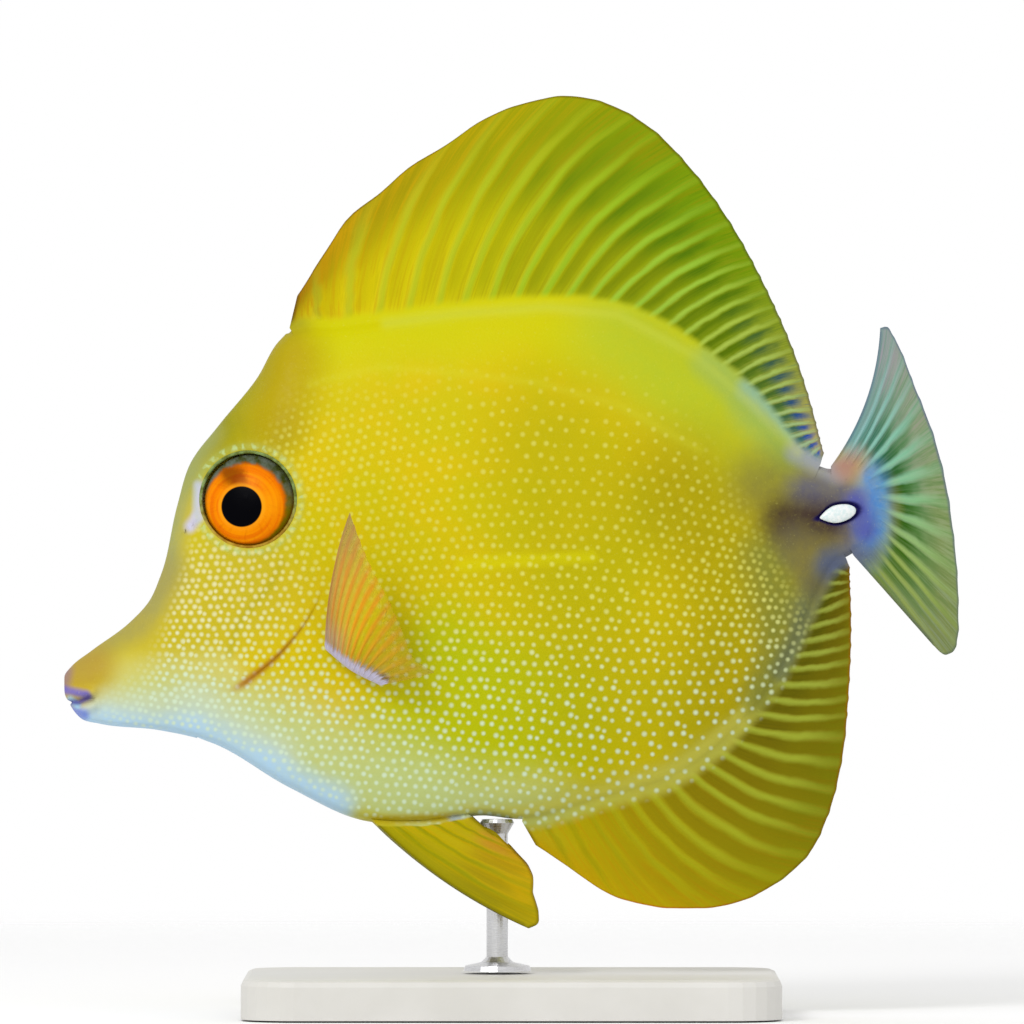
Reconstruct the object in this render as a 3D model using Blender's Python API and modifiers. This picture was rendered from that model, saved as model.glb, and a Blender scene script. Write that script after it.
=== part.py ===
"""Scopas tang, yellow form, life size, swimming above a plain display stand.

The fish faces -X with +Z up, and its left side faces -Y. The origin is the
middle of the stand's underside. Sizes are in millimetres here, and become
metres where the meshes are made. Outlines are (x, z) points in the plane of
symmetry.
"""
import math

import bmesh
import bpy
import numpy as np
from mathutils import Matrix, Vector

MM = 0.001
GAP = 0.3

# The outline of head and body, without fins, from the snout to the tail.
BACK_LINE = [
    (-50.1, 36.8), (-50.05, 37.9), (-49.3, 38.9), (-47.0, 40.7), (-42.7, 43.9), (-40.6, 46.2),
    (-39.3, 49.1), (-37.4, 57.1), (-36.0, 61.6), (-32.8, 65.9), (-28.5, 71.2), (-26.0, 75.4),
    (-24.8, 76.5), (-19.2, 77.2), (-5.8, 79.0), (4.0, 79.7), (12.2, 78.9), (21.1, 74.1),
    (27.5, 68.6), (33.4, 61.9), (35.2, 61.1), (38.0, 61.0), (39.6, 59.4), (40.4, 57.6),
    (40.6, 56.2)]
BELLY_LINE = [
    (-50.1, 36.8), (-50.0, 35.7), (-49.6, 34.9), (-49.0, 33.9), (-48.1, 33.0), (-46.2, 32.5),
    (-39.4, 31.75), (-34.0, 30.5), (-24.8, 25.3), (-16.4, 21.6), (-10.2, 21.3), (-3.0, 22.2),
    (0.8, 21.8), (9.9, 23.9), (18.9, 26.8), (25.8, 32.5), (30.6, 39.3), (34.0, 46.6),
    (36.0, 50.3), (37.9, 51.4), (39.4, 52.4), (40.3, 54.2), (40.6, 56.2)]

# Half widths (x, y) of the body at its widest height, and those of its upper and lower edge.
HALF_WIDTHS = [
    (-50.0, 1.6), (-48.0, 2.1), (-44.0, 2.8), (-40.0, 3.7), (-35.0, 4.8), (-29.4, 5.8),
    (-20.0, 6.6), (-8.0, 6.7), (4.0, 6.2), (16.0, 5.2), (25.0, 4.0), (31.0, 2.9),
    (36.0, 2.0), (40.6, 1.3)]
BACK_KEEL = [(-50.0, 0.5), (-25.0, 0.5), (33.0, 0.5), (38.0, 1.1), (40.6, 1.1)]
BELLY_KEEL = [(-50.0, 0.5), (-34.0, 0.8), (-16.0, 1.1), (-4.0, 1.0), (2.0, 0.5), (34.0, 0.5),
              (38.0, 1.1), (40.6, 1.1)]
BACK_FULLNESS = 0.66
BELLY_FULLNESS = [(-50.0, 0.5), (-30.0, 0.46), (-6.0, 0.46), (6.0, 0.62), (40.6, 0.66)]
# How far in from the front outline (z, depth) the head takes to reach its full width.
FACE_ROUNDING = [(21.0, 0.3), (27.0, 0.6), (31.5, 2.2), (34.0, 3.4), (60.0, 4.2), (70.0, 3.2),
                 (77.0, 1.0), (80.0, 0.3)]

# The edge of the gill cover, from the nape to the throat, where the head ends.
GILL_EDGE = [(-25.1, 76.2), (-23.4, 68.7), (-21.0, 60.9), (-19.9, 55.9), (-20.4, 50.8),
             (-21.9, 45.8), (-25.6, 40.7), (-30.4, 36.6), (-33.6, 33.6), (-35.0, 30.9)]
FLAP_RISE = 0.35
FLAP_REACH = 2.6
FLAP_LOW = (32.5, 37.5)
FLAP_HIGH = (60.0, 68.0)
TAIL_START = 33.2

# Stations of the lofts: x on the back line and x on the belly line.
HEAD_STATIONS = [
    (-50.07, -50.07), (-49.95, -49.95), (-49.6, -49.65), (-49.1, -49.25), (-48.55, -48.9),
    (-47.95, -48.55), (-47.3, -48.2), (-46.6, -47.8), (-45.7, -47.3), (-44.5, -46.7),
    (-43.0, -45.8), (-41.6, -44.8), (-40.4, -43.6), (-39.6, -42.5),
    (-39.0, -41.4), (-38.4, -40.4), (-37.8, -39.5), (-37.0, -38.7), (-35.9, -38.0),
    (-34.2, -37.4), (-32.0, -36.8), (-29.7, -36.2), (-27.4, -35.6), (-25.1, -35.0)]
TORSO_STATIONS = [
    (-25.1, -35.0), (-23.2, -32.6), (-20.8, -29.6), (-18.0, -26.2), (-15.0, -22.6),
    (-11.8, -18.6), (-8.6, -14.4), (-5.2, -10.2), (-1.8, -6.0), (1.7, -1.8),
    (5.2, 2.4), (8.7, 6.6), (12.2, 10.8), (15.6, 14.8), (18.8, 18.6),
    (21.8, 22.0), (24.6, 25.0), (27.2, 27.6), (29.4, 29.8), (31.4, 31.6), (33.2, 33.2)]
TAIL_STATIONS = [33.2, 34.0, 34.8, 35.6, 36.4, 37.2, 38.0, 38.7, 39.3, 39.8, 40.2, 40.5]
RING_POINTS = 18
RING_CROWDING = 0.65
HEAD_BEND = 1.6
TORSO_BEND = 1.5
TORSO_BEND_STATIONS = 9.0

# Mouth, lips and nostrils.
MOUTH_FRONT = (-50.4, 34.8)
MOUTH_CORNER = (-46.8, 35.3)
MOUTH_OPENING = 0.42
MOUTH_CORNER_OPENING = 0.21
MOUTH_REACH = 6.0
UPPER_LIP = [(-50.0, 35.9), (-48.4, 36.0), (-46.8, 36.1)]
LOWER_LIP = [(-48.9, 34.1), (-48.0, 34.0), (-46.8, 34.4)]
LIP_RISE = 0.42
LIP_SPREAD = 0.38
NOSTRILS = [(-35.4, 54.7, 0.34), (-36.4, 54.0, 0.28)]

# Eyes, turned about an axis square to the head. The profiles are (radius, height), and the
# socket keeps the gap to the eye all round and is open to the outside.
EYE_CENTRE = (-29.4, 57.6)
EYE_PROFILE = [(0.0, 1.15), (1.5, 1.06), (3.0, 0.76), (4.2, 0.24), (4.85, -0.3), (5.05, -0.9),
               (4.7, -1.7), (3.4, -2.4), (0.0, -2.7)]
SOCKET_PROFILE = [(0.0, 4.0), (5.4, 4.0), (5.2, -0.48), (5.4, -1.08), (5.05, -1.88), (3.75, -2.58),
                  (0.0, -3.0)]
EYE_STEPS = 24
SLOPE_REACH = 2.5

# Tail spines, one on each side, lying in a groove with the point to the front.
SPINE_CENTRE = (36.5, 56.0)
SPINE_LENGTH = 4.2
SPINE_HEIGHT = 2.0
SPINE_THICKNESS = 1.0
SPINE_TILT = math.radians(13.0)
SPINE_POINT = 0.55
SPINE_LIFT = 0.05

# Fin rims and roots, from the front ray to the rear ray. Places are (ray number, share of the
# root's length, or of the rim's for the tail fin), and a spread is (share of root, share of rim).
DORSAL_ROOT = (-24.7, 34.5)
DORSAL_RIM = [
    (-24.0, 80.4), (-20.4, 86.1), (-18.3, 89.2), (-14.9, 91.8), (-11.4, 94.9), (-7.2, 97.4),
    (-3.5, 100.0), (2.1, 102.2), (6.6, 102.85), (11.0, 101.9), (15.3, 99.5), (19.9, 95.0),
    (24.0, 89.5), (28.6, 81.2), (32.0, 73.3), (33.7, 67.9), (35.0, 62.8)]
DORSAL_RAYS = 30
DORSAL_PLACES = [(0, 0.0), (5, 0.255), (9, 0.432), (13, 0.585), (17, 0.712), (21, 0.816),
                 (24, 0.884), (29, 1.0)]
DORSAL_SPREAD = [(0.0, 0.0), (0.05, 0.04), (0.10, 0.147), (0.15, 0.264), (0.20, 0.35),
                 (0.30, 0.47), (0.397, 0.56), (0.516, 0.67), (0.616, 0.748), (0.725, 0.817),
                 (0.814, 0.886), (0.904, 0.96), (1.0, 1.0)]
DORSAL_BOW = [(0.0, 0.0), (0.12, 0.06), (0.35, 0.09), (0.7, 0.05), (1.0, 0.02)]

ANAL_ROOT = (1.2, 37.4)
ANAL_RIM = [
    (2.7, 18.9), (6.6, 16.25), (11.0, 13.35), (16.1, 11.95), (20.0, 11.75), (24.5, 12.2),
    (29.1, 14.2), (33.6, 18.2), (35.5, 22.2), (37.1, 28.6), (37.8, 35.6), (38.1, 43.5),
    (37.9, 50.0)]
ANAL_RAYS = 25
ANAL_PLACES = [(0, 0.0), (8, 0.395), (12, 0.551), (16, 0.713), (20, 0.848), (24, 1.0)]
ANAL_SPREAD = [(0.0, 0.0), (0.06, 0.103), (0.15, 0.243), (0.24, 0.382), (0.33, 0.49),
               (0.40, 0.554), (0.475, 0.63), (0.565, 0.737), (0.63, 0.78), (0.72, 0.85),
               (0.86, 0.957), (1.0, 1.0)]
ANAL_BOW = [(0.0, 0.0), (0.12, -0.02), (0.3, -0.1), (0.5, -0.05), (1.0, -0.02)]

CAUDAL_ROOT = (35.8, 38.2)
CAUDAL_RIM = [
    (41.3, 76.8), (42.0, 77.05), (42.8, 75.9), (45.2, 70.3), (47.3, 64.9), (48.7, 59.5),
    (49.5, 54.2), (50.0, 49.0), (50.1, 44.6), (50.0, 42.0), (49.4, 40.4), (48.6, 40.2),
    (47.2, 41.3)]
CAUDAL_RAYS = 15
CAUDAL_PLACES = [(0, 0.0), (2, 0.113), (4, 0.24), (9, 0.715), (11, 0.869), (14, 1.0)]
CAUDAL_SPREAD = [(0.0, 0.0), (0.13, 0.09), (0.27, 0.26), (0.5, 0.56), (0.75, 0.87), (1.0, 1.0)]
CAUDAL_BOW = [(0.0, -0.075), (0.15, -0.035), (0.4, 0.0), (1.0, 0.0)]
CAUDAL_ROOT_HALF = 1.1

PECTORAL_ROOT = [(-20.4, 41.3), (-17.6, 39.0), (-14.5, 37.4)]
PECTORAL_RIM = [
    (-17.9, 56.1), (-17.0, 53.6), (-15.5, 50.0), (-13.4, 46.0), (-11.8, 42.2), (-10.8, 39.9),
    (-8.6, 38.4)]
PECTORAL_RAYS = 14
PECTORAL_BOW = [(0.0, 0.05), (0.5, 0.06), (1.0, -0.02)]
PECTORAL_REACH = [(0.0, 10.0), (0.5, 8.5), (1.0, 4.5)]
PECTORAL_ROOT_HALF = 0.5

PELVIC_ROOT = (-15.0, -4.5)
PELVIC_RIM = [
    (1.9, 9.75), (3.0, 10.2), (2.9, 12.0), (2.4, 13.9), (2.5, 15.2), (1.9, 16.5), (0.4, 18.2),
    (-1.8, 20.3)]
PELVIC_RAYS = 6
PELVIC_BOW = [(0.0, -0.045), (1.0, 0.0)]
PELVIC_OFFSET = 1.5
PELVIC_SPREAD = 3.4
PELVIC_REAR_SHARE = 0.5
PELVIC_ROOT_HALF = 0.45

# Thickness of the fins, as half thicknesses, and how the rows go from root to rim.
MEMBRANE_HALF = 0.26
RIM_HALF = 0.13
RAY_RISE = 0.17
RAY_TAPER = 0.75
RAY_HALF_SPACE = 0.24
ROOT_THINNING = 6
ROWS = [0.0, 0.07, 0.18, 0.33, 0.5, 0.68, 0.85, 1.0]
PECTORAL_ROW_BEND = 1.25
PECTORAL_CURVE = 2.2
# How far the rim is drawn back between rays, at most, and as a share of the ray's length.
SCALLOP = 0.12
SCALLOP_SHARE = 0.04

BASE_SIZE = (60.0, 44.0, 4.5)
BASE_CORNER = 6.0
BASE_CORNER_STEPS = 6
BASE_EDGE = 0.8
BASE_EDGE_STEPS = 2
ROD_X = -1.6
ROD_PROFILE = [(0.0, 17.0), (1.7, 17.0), (1.9, 16.6), (1.2, 15.4), (1.2, 1.6), (1.8, 1.0),
               (3.6, 0.6), (3.8, 0.0), (0.0, 0.0)]
ROD_STEPS = 24

COLOURS = {
    "head": ((0.62, 0.52, 0.06), 0.42, 0.0),
    "torso": ((0.72, 0.56, 0.01), 0.42, 0.0),
    "caudal_peduncle": ((0.22, 0.23, 0.26), 0.42, 0.0),
    "dorsal_fin": ((0.40, 0.36, 0.01), 0.45, 0.0),
    "anal_fin": ((0.34, 0.31, 0.01), 0.45, 0.0),
    "caudal_fin": ((0.24, 0.30, 0.14), 0.45, 0.0),
    "pectoral_fin": ((0.70, 0.42, 0.10), 0.40, 0.0),
    "pelvic_fin": ((0.55, 0.46, 0.03), 0.45, 0.0),
    "eye": ((0.55, 0.16, 0.02), 0.08, 0.0),
    "caudal_spine": ((0.85, 0.93, 0.92), 0.30, 0.0),
    "stand_base": ((0.78, 0.77, 0.74), 0.45, 0.0),
    "stand_rod": ((0.62, 0.62, 0.63), 0.28, 1.0),
}


def clear_scene():
    """Remove every object that the new file starts with."""
    for obj in list(bpy.data.objects):
        bpy.data.objects.remove(obj, do_unlink=True)


def make_collection(name):
    """Make a collection in the scene."""
    group = bpy.data.collections.new(name)
    bpy.context.scene.collection.children.link(group)
    return group


def make_material(name):
    """Make a Principled material for a kind of part."""
    colour, roughness, metallic = COLOURS[name]
    material = bpy.data.materials.new(name)
    material.use_nodes = True
    shader = material.node_tree.nodes["Principled BSDF"]
    shader.inputs["Base Color"].default_value = (*colour, 1.0)
    shader.inputs["Roughness"].default_value = roughness
    shader.inputs["Metallic"].default_value = metallic
    return material


def table(pairs, values):
    """Read a table of (key, value) pairs at the given keys."""
    pairs = np.asarray(pairs, dtype=float)
    return np.interp(values, pairs[:, 0], pairs[:, 1])


def smooth_curve(points, steps=12):
    """Run a smooth curve through the points and return it as close-set points."""
    points = np.asarray(points, dtype=float)
    gaps = np.linalg.norm(np.diff(points, axis=0), axis=1)
    slopes = np.diff(points, axis=0) / gaps[:, None]
    tangents = np.empty_like(points)
    tangents[0] = slopes[0]
    tangents[-1] = slopes[-1]
    before = gaps[:-1, None]
    after = gaps[1:, None]
    tangents[1:-1] = (slopes[:-1] * after + slopes[1:] * before) / (before + after)
    share = np.linspace(0.0, 1.0, steps, endpoint=False)[:, None]
    pieces = []
    for i, gap in enumerate(gaps):
        pieces.append(
            (2 * share ** 3 - 3 * share ** 2 + 1) * points[i]
            + (share ** 3 - 2 * share ** 2 + share) * gap * tangents[i]
            + (3 * share ** 2 - 2 * share ** 3) * points[i + 1]
            + (share ** 3 - share ** 2) * gap * tangents[i + 1])
    pieces.append(points[-1:])
    return np.vstack(pieces)


def along(curve, marks):
    """Points at the given shares of a curve's length."""
    steps = np.linalg.norm(np.diff(curve, axis=0), axis=1)
    length = np.concatenate(([0.0], np.cumsum(steps)))
    where = np.asarray(marks) * length[-1]
    columns = [np.interp(where, length, curve[:, k]) for k in range(curve.shape[1])]
    return np.stack(columns, axis=-1)


def offset_curve(curve, distance):
    """Move a curve to the left of its own direction by a distance."""
    direction = np.gradient(curve, axis=0)
    direction /= np.linalg.norm(direction, axis=1)[:, None]
    normal = np.stack([-direction[:, 1], direction[:, 0]], axis=-1)
    return curve + normal * distance


def between(curve, first, last):
    """The part of a curve that runs from x = first to x = last."""
    inside = curve[(curve[:, 0] > first) & (curve[:, 0] < last)]
    start = (first, np.interp(first, curve[:, 0], curve[:, 1]))
    end = (last, np.interp(last, curve[:, 0], curve[:, 1]))
    return np.vstack([start, inside, end])


BACK = smooth_curve(BACK_LINE)
BELLY = smooth_curve(BELLY_LINE)
GILL = smooth_curve(GILL_EDGE)
WIDTH = smooth_curve(HALF_WIDTHS)


def front_edge(z):
    """The x of the front outline at each height."""
    rising = BACK[:int(np.argmax(BACK[:, 1])) + 1]
    falling = BELLY[:int(np.argmin(BELLY[:, 1])) + 1][::-1]
    outline = np.vstack([falling[:-1], rising])
    return np.interp(z, outline[:, 1], outline[:, 0])


def half_width(x, z):
    """Half the width of the body at a point of its side view."""
    top = np.interp(x, BACK[:, 0], BACK[:, 1])
    bottom = np.interp(x, BELLY[:, 0], BELLY[:, 1])
    level = np.clip((z - bottom) / np.maximum(top - bottom, 1e-6), 0.0, 1.0)
    blend = level * level * (3.0 - 2.0 * level)
    keel = table(BELLY_KEEL, x) * (1.0 - blend) + table(BACK_KEEL, x) * blend
    fullness = table(BELLY_FULLNESS, x) * (1.0 - blend) + BACK_FULLNESS * blend
    section = (4.0 * level * (1.0 - level)) ** fullness
    depth = np.clip((x - front_edge(z)) / table(FACE_ROUNDING, z), 0.0, 1.0)
    face = np.sqrt(1.0 - (1.0 - depth) ** 2)
    widest = np.maximum(np.interp(x, WIDTH[:, 0], WIDTH[:, 1]), keel)
    return keel + (widest - keel) * section * face


def distance_to(curve, x, z):
    """Distance from points of the side view to a curve."""
    points = np.stack([x, z], axis=-1)[..., None, :]
    return np.min(np.linalg.norm(points - curve, axis=-1), axis=-1)


def bump(distance, spread):
    """A rounded rise that falls away with distance."""
    return np.exp(-0.5 * (distance / spread) ** 2)


def head_half_width(x, z):
    """Half the width of the head, with its lips and the edge of the gill cover."""
    upper = bump(distance_to(smooth_curve(UPPER_LIP), x, z), LIP_SPREAD)
    lower = bump(distance_to(smooth_curve(LOWER_LIP), x, z), LIP_SPREAD)
    inside = np.clip((x - front_edge(z)) / (2.0 * LIP_SPREAD), 0.0, 1.0)
    lips = LIP_RISE * np.maximum(upper, lower) * inside
    back_from_edge = distance_to(GILL, x, z) / FLAP_REACH
    low = np.interp(z, FLAP_LOW, (0.0, 1.0))
    high = np.interp(z, FLAP_HIGH, (1.0, 0.0))
    flap = FLAP_RISE * np.exp(-back_from_edge ** 2) * low * high
    return half_width(x, z) + lips + flap


def ring_marks():
    """Shares of a station's height, closer together at the keels."""
    turns = np.linspace(0.0, math.pi, RING_POINTS)
    even = np.linspace(0.0, 1.0, RING_POINTS)
    return RING_CROWDING * (1.0 - np.cos(turns)) / 2.0 + (1.0 - RING_CROWDING) * even


def station_lines(stations, bends, edge):
    """Lines from back to belly, bent by their share of the gill cover's curve.

    An edge, given as a line's number and a side, puts that line along the gill cover.
    """
    marks = ring_marks()
    chord = GILL[0] + (GILL[-1] - GILL[0]) * marks[:, None]
    curve = along(GILL, marks) - chord
    lines = []
    for (back_x, belly_x), bend in zip(stations, bends):
        top = np.array([back_x, np.interp(back_x, BACK[:, 0], BACK[:, 1])])
        bottom = np.array([belly_x, np.interp(belly_x, BELLY[:, 0], BELLY[:, 1])])
        lines.append(top + (bottom - top) * marks[:, None] + bend * curve)
    if edge is not None:
        place, side = edge
        lines[place] = along(offset_curve(GILL, side * GAP / 2.0), marks)
    return lines


def add_mesh(name, points, faces, group, colour):
    """Make a mesh object from points in millimetres, with its faces facing out."""
    mesh = bpy.data.meshes.new(name)
    mesh.from_pydata([tuple(float(value) for value in point) for point in points], [], faces)
    work = bmesh.new()
    work.from_mesh(mesh)
    bmesh.ops.recalc_face_normals(work, faces=work.faces)
    bmesh.ops.scale(work, verts=work.verts, vec=Vector((MM, MM, MM)))
    work.to_mesh(mesh)
    work.free()
    obj = bpy.data.objects.new(name, mesh)
    group.objects.link(obj)
    if colour:
        mesh.materials.append(make_material(colour))
    return obj


def adopt(obj, group):
    """Keep an object in one collection only."""
    for owner in list(obj.users_collection):
        owner.objects.unlink(obj)
    group.objects.link(obj)


def shade(obj, angle=50.0):
    """Shade smooth, with sharp edges past an angle."""
    obj.data.shade_smooth()
    obj.data.set_sharp_from_angle(angle=math.radians(angle))


def loft(name, lines, width, group):
    """A closed body through the station lines, alike on both sides."""
    count = len(lines[0])
    points = []
    for line in lines:
        reach = width(line[:, 0], line[:, 1])
        for side in (-1.0, 1.0):
            points.extend((x, side * y, z) for (x, z), y in zip(line, reach))
    ring = 2 * count
    faces = []
    for i in range(len(lines) - 1):
        here = i * ring
        there = here + ring
        for k in range(count - 1):
            faces.append((here + k, here + k + 1, there + k + 1, there + k))
            faces.append((here + count + k, there + count + k,
                          there + count + k + 1, here + count + k + 1))
        for k in (0, count - 1):
            faces.append((here + k, there + k, there + count + k, here + count + k))
    for start in (0, (len(lines) - 1) * ring):
        for k in range(count - 1):
            faces.append((start + k, start + k + 1, start + count + k + 1, start + count + k))
    obj = add_mesh(name, points, faces, group, name)
    shade(obj)
    return obj


def cut(target, cutter):
    """Take a cutter's shape out of an object."""
    cutter.display_type = "WIRE"
    cutter.hide_render = True
    modifier = target.modifiers.new("cut_" + cutter.name, "BOOLEAN")
    modifier.operation = "DIFFERENCE"
    modifier.solver = "EXACT"
    modifier.object = cutter


def turned(name, profile, steps, group, colour):
    """A turned solid from a profile of (radius, height), top to bottom."""
    mesh = bpy.data.meshes.new(name)
    points = [(radius * MM, 0.0, height * MM) for radius, height in profile]
    edges = [(i, i + 1) for i in range(len(points) - 1)]
    mesh.from_pydata(points, edges, [])
    obj = bpy.data.objects.new(name, mesh)
    group.objects.link(obj)
    if colour:
        mesh.materials.append(make_material(colour))
    screw = obj.modifiers.new("turn", "SCREW")
    screw.axis = "Z"
    screw.steps = steps
    screw.render_steps = steps
    screw.use_smooth_shade = True
    screw.use_merge_vertices = True
    screw.merge_threshold = 0.00001
    return obj


def side_frame(x, z, side, height):
    """Place something on the side of the head or body, square to its surface."""
    step = SLOPE_REACH
    slope_x = (half_width(x + step, z) - half_width(x - step, z)) / (2.0 * step)
    slope_z = (half_width(x, z + step) - half_width(x, z - step)) / (2.0 * step)
    out = Vector((-slope_x, side, -slope_z)).normalized()
    place = Vector((x, side * half_width(x, z), z)) + out * height
    along_x = Vector((1.0, 0.0, 0.0))
    along_x = (along_x - out * along_x.dot(out)).normalized()
    third = out.cross(along_x)
    frame = Matrix((along_x, third, out)).transposed().to_4x4()
    frame.translation = place * MM
    return frame


def build_head(group, cutters):
    """The head, with eye sockets, mouth and nostrils cut in."""
    last = len(HEAD_STATIONS) - 1
    bends = [(i / last) ** HEAD_BEND for i in range(last + 1)]
    lines = station_lines(HEAD_STATIONS, bends, (last, -1.0))
    head = loft("head", lines, head_half_width, group)
    for word, side in (("left", -1.0), ("right", 1.0)):
        socket = turned("socket_" + word, SOCKET_PROFILE, EYE_STEPS, cutters, None)
        socket.matrix_world = side_frame(*EYE_CENTRE, side, 0.0)
        cut(head, socket)
        for number, (x, z, radius) in enumerate(NOSTRILS):
            bpy.ops.mesh.primitive_uv_sphere_add(segments=10, ring_count=6, radius=radius * MM)
            pit = bpy.context.object
            pit.name = "nostril_%s_%d" % (word, number)
            adopt(pit, cutters)
            pit.matrix_world = side_frame(x, z, side, 0.0)
            cut(head, pit)
    cut(head, mouth_cutter(cutters))
    return head


def mouth_cutter(cutters):
    """The open mouth: a flat wedge from the front of the snout to the mouth's corner."""
    front = np.array(MOUTH_FRONT)
    corner = np.array(MOUTH_CORNER)
    wide = np.array((0.0, MOUTH_OPENING / 2.0))
    narrow = np.array((0.0, MOUTH_CORNER_OPENING / 2.0))
    outline = [front + wide, corner + narrow, corner - narrow, front - wide]
    points = [(x, side * MOUTH_REACH, z) for side in (-1.0, 1.0) for x, z in outline]
    faces = [(0, 1, 2, 3), (4, 5, 6, 7), (0, 1, 5, 4), (1, 2, 6, 5), (2, 3, 7, 6), (3, 0, 4, 7)]
    return add_mesh("mouth_opening", points, faces, cutters, None)


def build_torso(group):
    """The body from the gill covers to the start of the tail."""
    last = len(TORSO_STATIONS) - 1
    bends = [max(0.0, 1.0 - i / TORSO_BEND_STATIONS) ** TORSO_BEND for i in range(last + 1)]
    stations = list(TORSO_STATIONS)
    stations[-1] = (TAIL_START - GAP / 2.0, TAIL_START - GAP / 2.0)
    lines = station_lines(stations, bends, (0, 1.0))
    return loft("torso", lines, half_width, group)


def spine_shape(name, margin, side, group, colour):
    """A leaf-shaped spine, or the groove around it where there is a margin."""
    half_length = SPINE_LENGTH / 2.0 + margin
    half_height = SPINE_HEIGHT / 2.0 + margin
    half_thick = SPINE_THICKNESS / 2.0 + margin
    mesh = bpy.data.meshes.new(name)
    work = bmesh.new()
    bmesh.ops.create_uvsphere(work, u_segments=14, v_segments=9, radius=1.0)
    for vertex in work.verts:
        x, y, z = vertex.co
        leaf = 1.0 - SPINE_POINT * max(0.0, -z) ** 2
        vertex.co = Vector((z * half_length, x * half_height * leaf, y * half_thick)) * MM
    work.to_mesh(mesh)
    work.free()
    obj = bpy.data.objects.new(name, mesh)
    group.objects.link(obj)
    if colour:
        mesh.materials.append(make_material(colour))
    tilt = Matrix.Rotation(SPINE_TILT * -side, 4, "Z")
    obj.matrix_world = side_frame(*SPINE_CENTRE, side, SPINE_LIFT) @ tilt
    shade(obj)
    return obj


def build_tail(group, cutters):
    """The caudal peduncle, with a groove on each side for its spine."""
    stations = [(x, x) for x in TAIL_STATIONS]
    stations[0] = (TAIL_START + GAP / 2.0, TAIL_START + GAP / 2.0)
    lines = station_lines(stations, [0.0] * len(stations), None)
    tail = loft("caudal_peduncle", lines, half_width, group)
    for word, side in (("left", -1.0), ("right", 1.0)):
        spine_shape("caudal_spine_" + word, 0.0, side, group, "caudal_spine")
        cut(tail, spine_shape("groove_" + word, GAP, side, cutters, None))
    return tail


def build_eyes(group):
    """Both eyes, each a turned lens with a domed front."""
    for word, side in (("left", -1.0), ("right", 1.0)):
        eye = turned("eye_" + word, EYE_PROFILE, EYE_STEPS, group, "eye")
        eye.matrix_world = side_frame(*EYE_CENTRE, side, 0.0)


def ray_columns(rays):
    """Columns of a fin as ray numbers, with a flag on each ray's crest."""
    columns = []
    for ray in range(rays):
        if ray > 0:
            columns.append((ray - RAY_HALF_SPACE, 0.0))
        columns.append((float(ray), 1.0))
        if ray < rays - 1:
            columns.append((ray + RAY_HALF_SPACE, 0.0))
    return np.array(columns)


def fan(root, rim, root_marks, rim_marks, bow, shares):
    """A fin's middle surface in side view: columns from root to rim, with a bow."""
    base = along(root, root_marks)
    tip = along(rim, rim_marks)
    chord = tip - base
    side = np.stack([-chord[:, 1], chord[:, 0]], axis=-1)
    pull = (base + tip) / 2.0 + 2.0 * side * table(bow, root_marks)[:, None]
    share = np.asarray(shares)[None, :, None]
    return ((1.0 - share) ** 2 * base[:, None, :] + 2.0 * share * (1.0 - share) * pull[:, None, :]
            + share ** 2 * tip[:, None, :])


def scallop(grid, crests):
    """Draw the rim back a little between the rays."""
    back = grid[:, -2] - grid[:, -1]
    back /= np.linalg.norm(back, axis=-1)[:, None]
    length = np.linalg.norm(grid[:, -1] - grid[:, 0], axis=-1)
    pull = np.minimum(SCALLOP, SCALLOP_SHARE * length) * (1.0 - crests)
    grid[:, -1] += back * pull[:, None]
    return grid


def half_thickness(columns, root_half):
    """Half thickness of a fin at each column and row, with raised rays."""
    rows = np.asarray(ROWS)[None, :]
    flat = RIM_HALF + (MEMBRANE_HALF - RIM_HALF) * (1.0 - rows ** 3)
    flesh = np.maximum(root_half - MEMBRANE_HALF, 0.0)[:, None] * (1.0 - rows) ** ROOT_THINNING
    rise = RAY_RISE * np.minimum(rows / ROWS[1], 1.0) * (1.0 - RAY_TAPER * rows)
    return flat + flesh + rise * columns[:, 1:2]


def slab(name, middle, half, group, colour):
    """A thin closed fin around its middle surface, split alike on both faces."""
    du = np.gradient(middle, axis=0)
    dv = np.gradient(middle, axis=1)
    normal = np.cross(du, dv)
    normal /= np.linalg.norm(normal, axis=-1)[..., None]
    columns, rows = half.shape
    near = middle - normal * half[..., None]
    far = middle + normal * half[..., None]
    points = list(near.reshape(-1, 3)) + list(far.reshape(-1, 3))
    shift = columns * rows
    faces = []
    for i in range(columns - 1):
        for j in range(rows - 1):
            a = i * rows + j
            b = a + rows
            for face in ((a, b, b + 1), (a, b + 1, a + 1)):
                faces.append(face)
                faces.append(tuple(reversed([k + shift for k in face])))
    outline = [i * rows for i in range(columns)]
    outline += [(columns - 1) * rows + j for j in range(1, rows)]
    outline += [i * rows + rows - 1 for i in range(columns - 2, -1, -1)]
    outline += [j for j in range(rows - 2, 0, -1)]
    for a, b in zip(outline, outline[1:] + outline[:1]):
        faces.append((a, a + shift, b + shift))
        faces.append((a, b + shift, b))
    obj = add_mesh(name, points, faces, group, colour)
    shade(obj, 60.0)
    return obj


def upright(grid):
    """Stand a side view grid in the plane of symmetry."""
    x, z = grid[..., 0], grid[..., 1]
    return np.stack([x, np.zeros_like(x), z], axis=-1)


def build_dorsal_fin(group):
    """The tall fin along the back, with spines in front and soft rays behind."""
    columns = ray_columns(DORSAL_RAYS)
    roots = table(DORSAL_PLACES, columns[:, 0])
    root = offset_curve(between(BACK, *DORSAL_ROOT), GAP)
    grid = fan(root, smooth_curve(DORSAL_RIM), roots, table(DORSAL_SPREAD, roots), DORSAL_BOW, ROWS)
    grid = scallop(grid, columns[:, 1])
    keel = table(BACK_KEEL, along(root, roots)[:, 0])
    return slab("dorsal_fin", upright(grid), half_thickness(columns, keel), group, "dorsal_fin")


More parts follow.
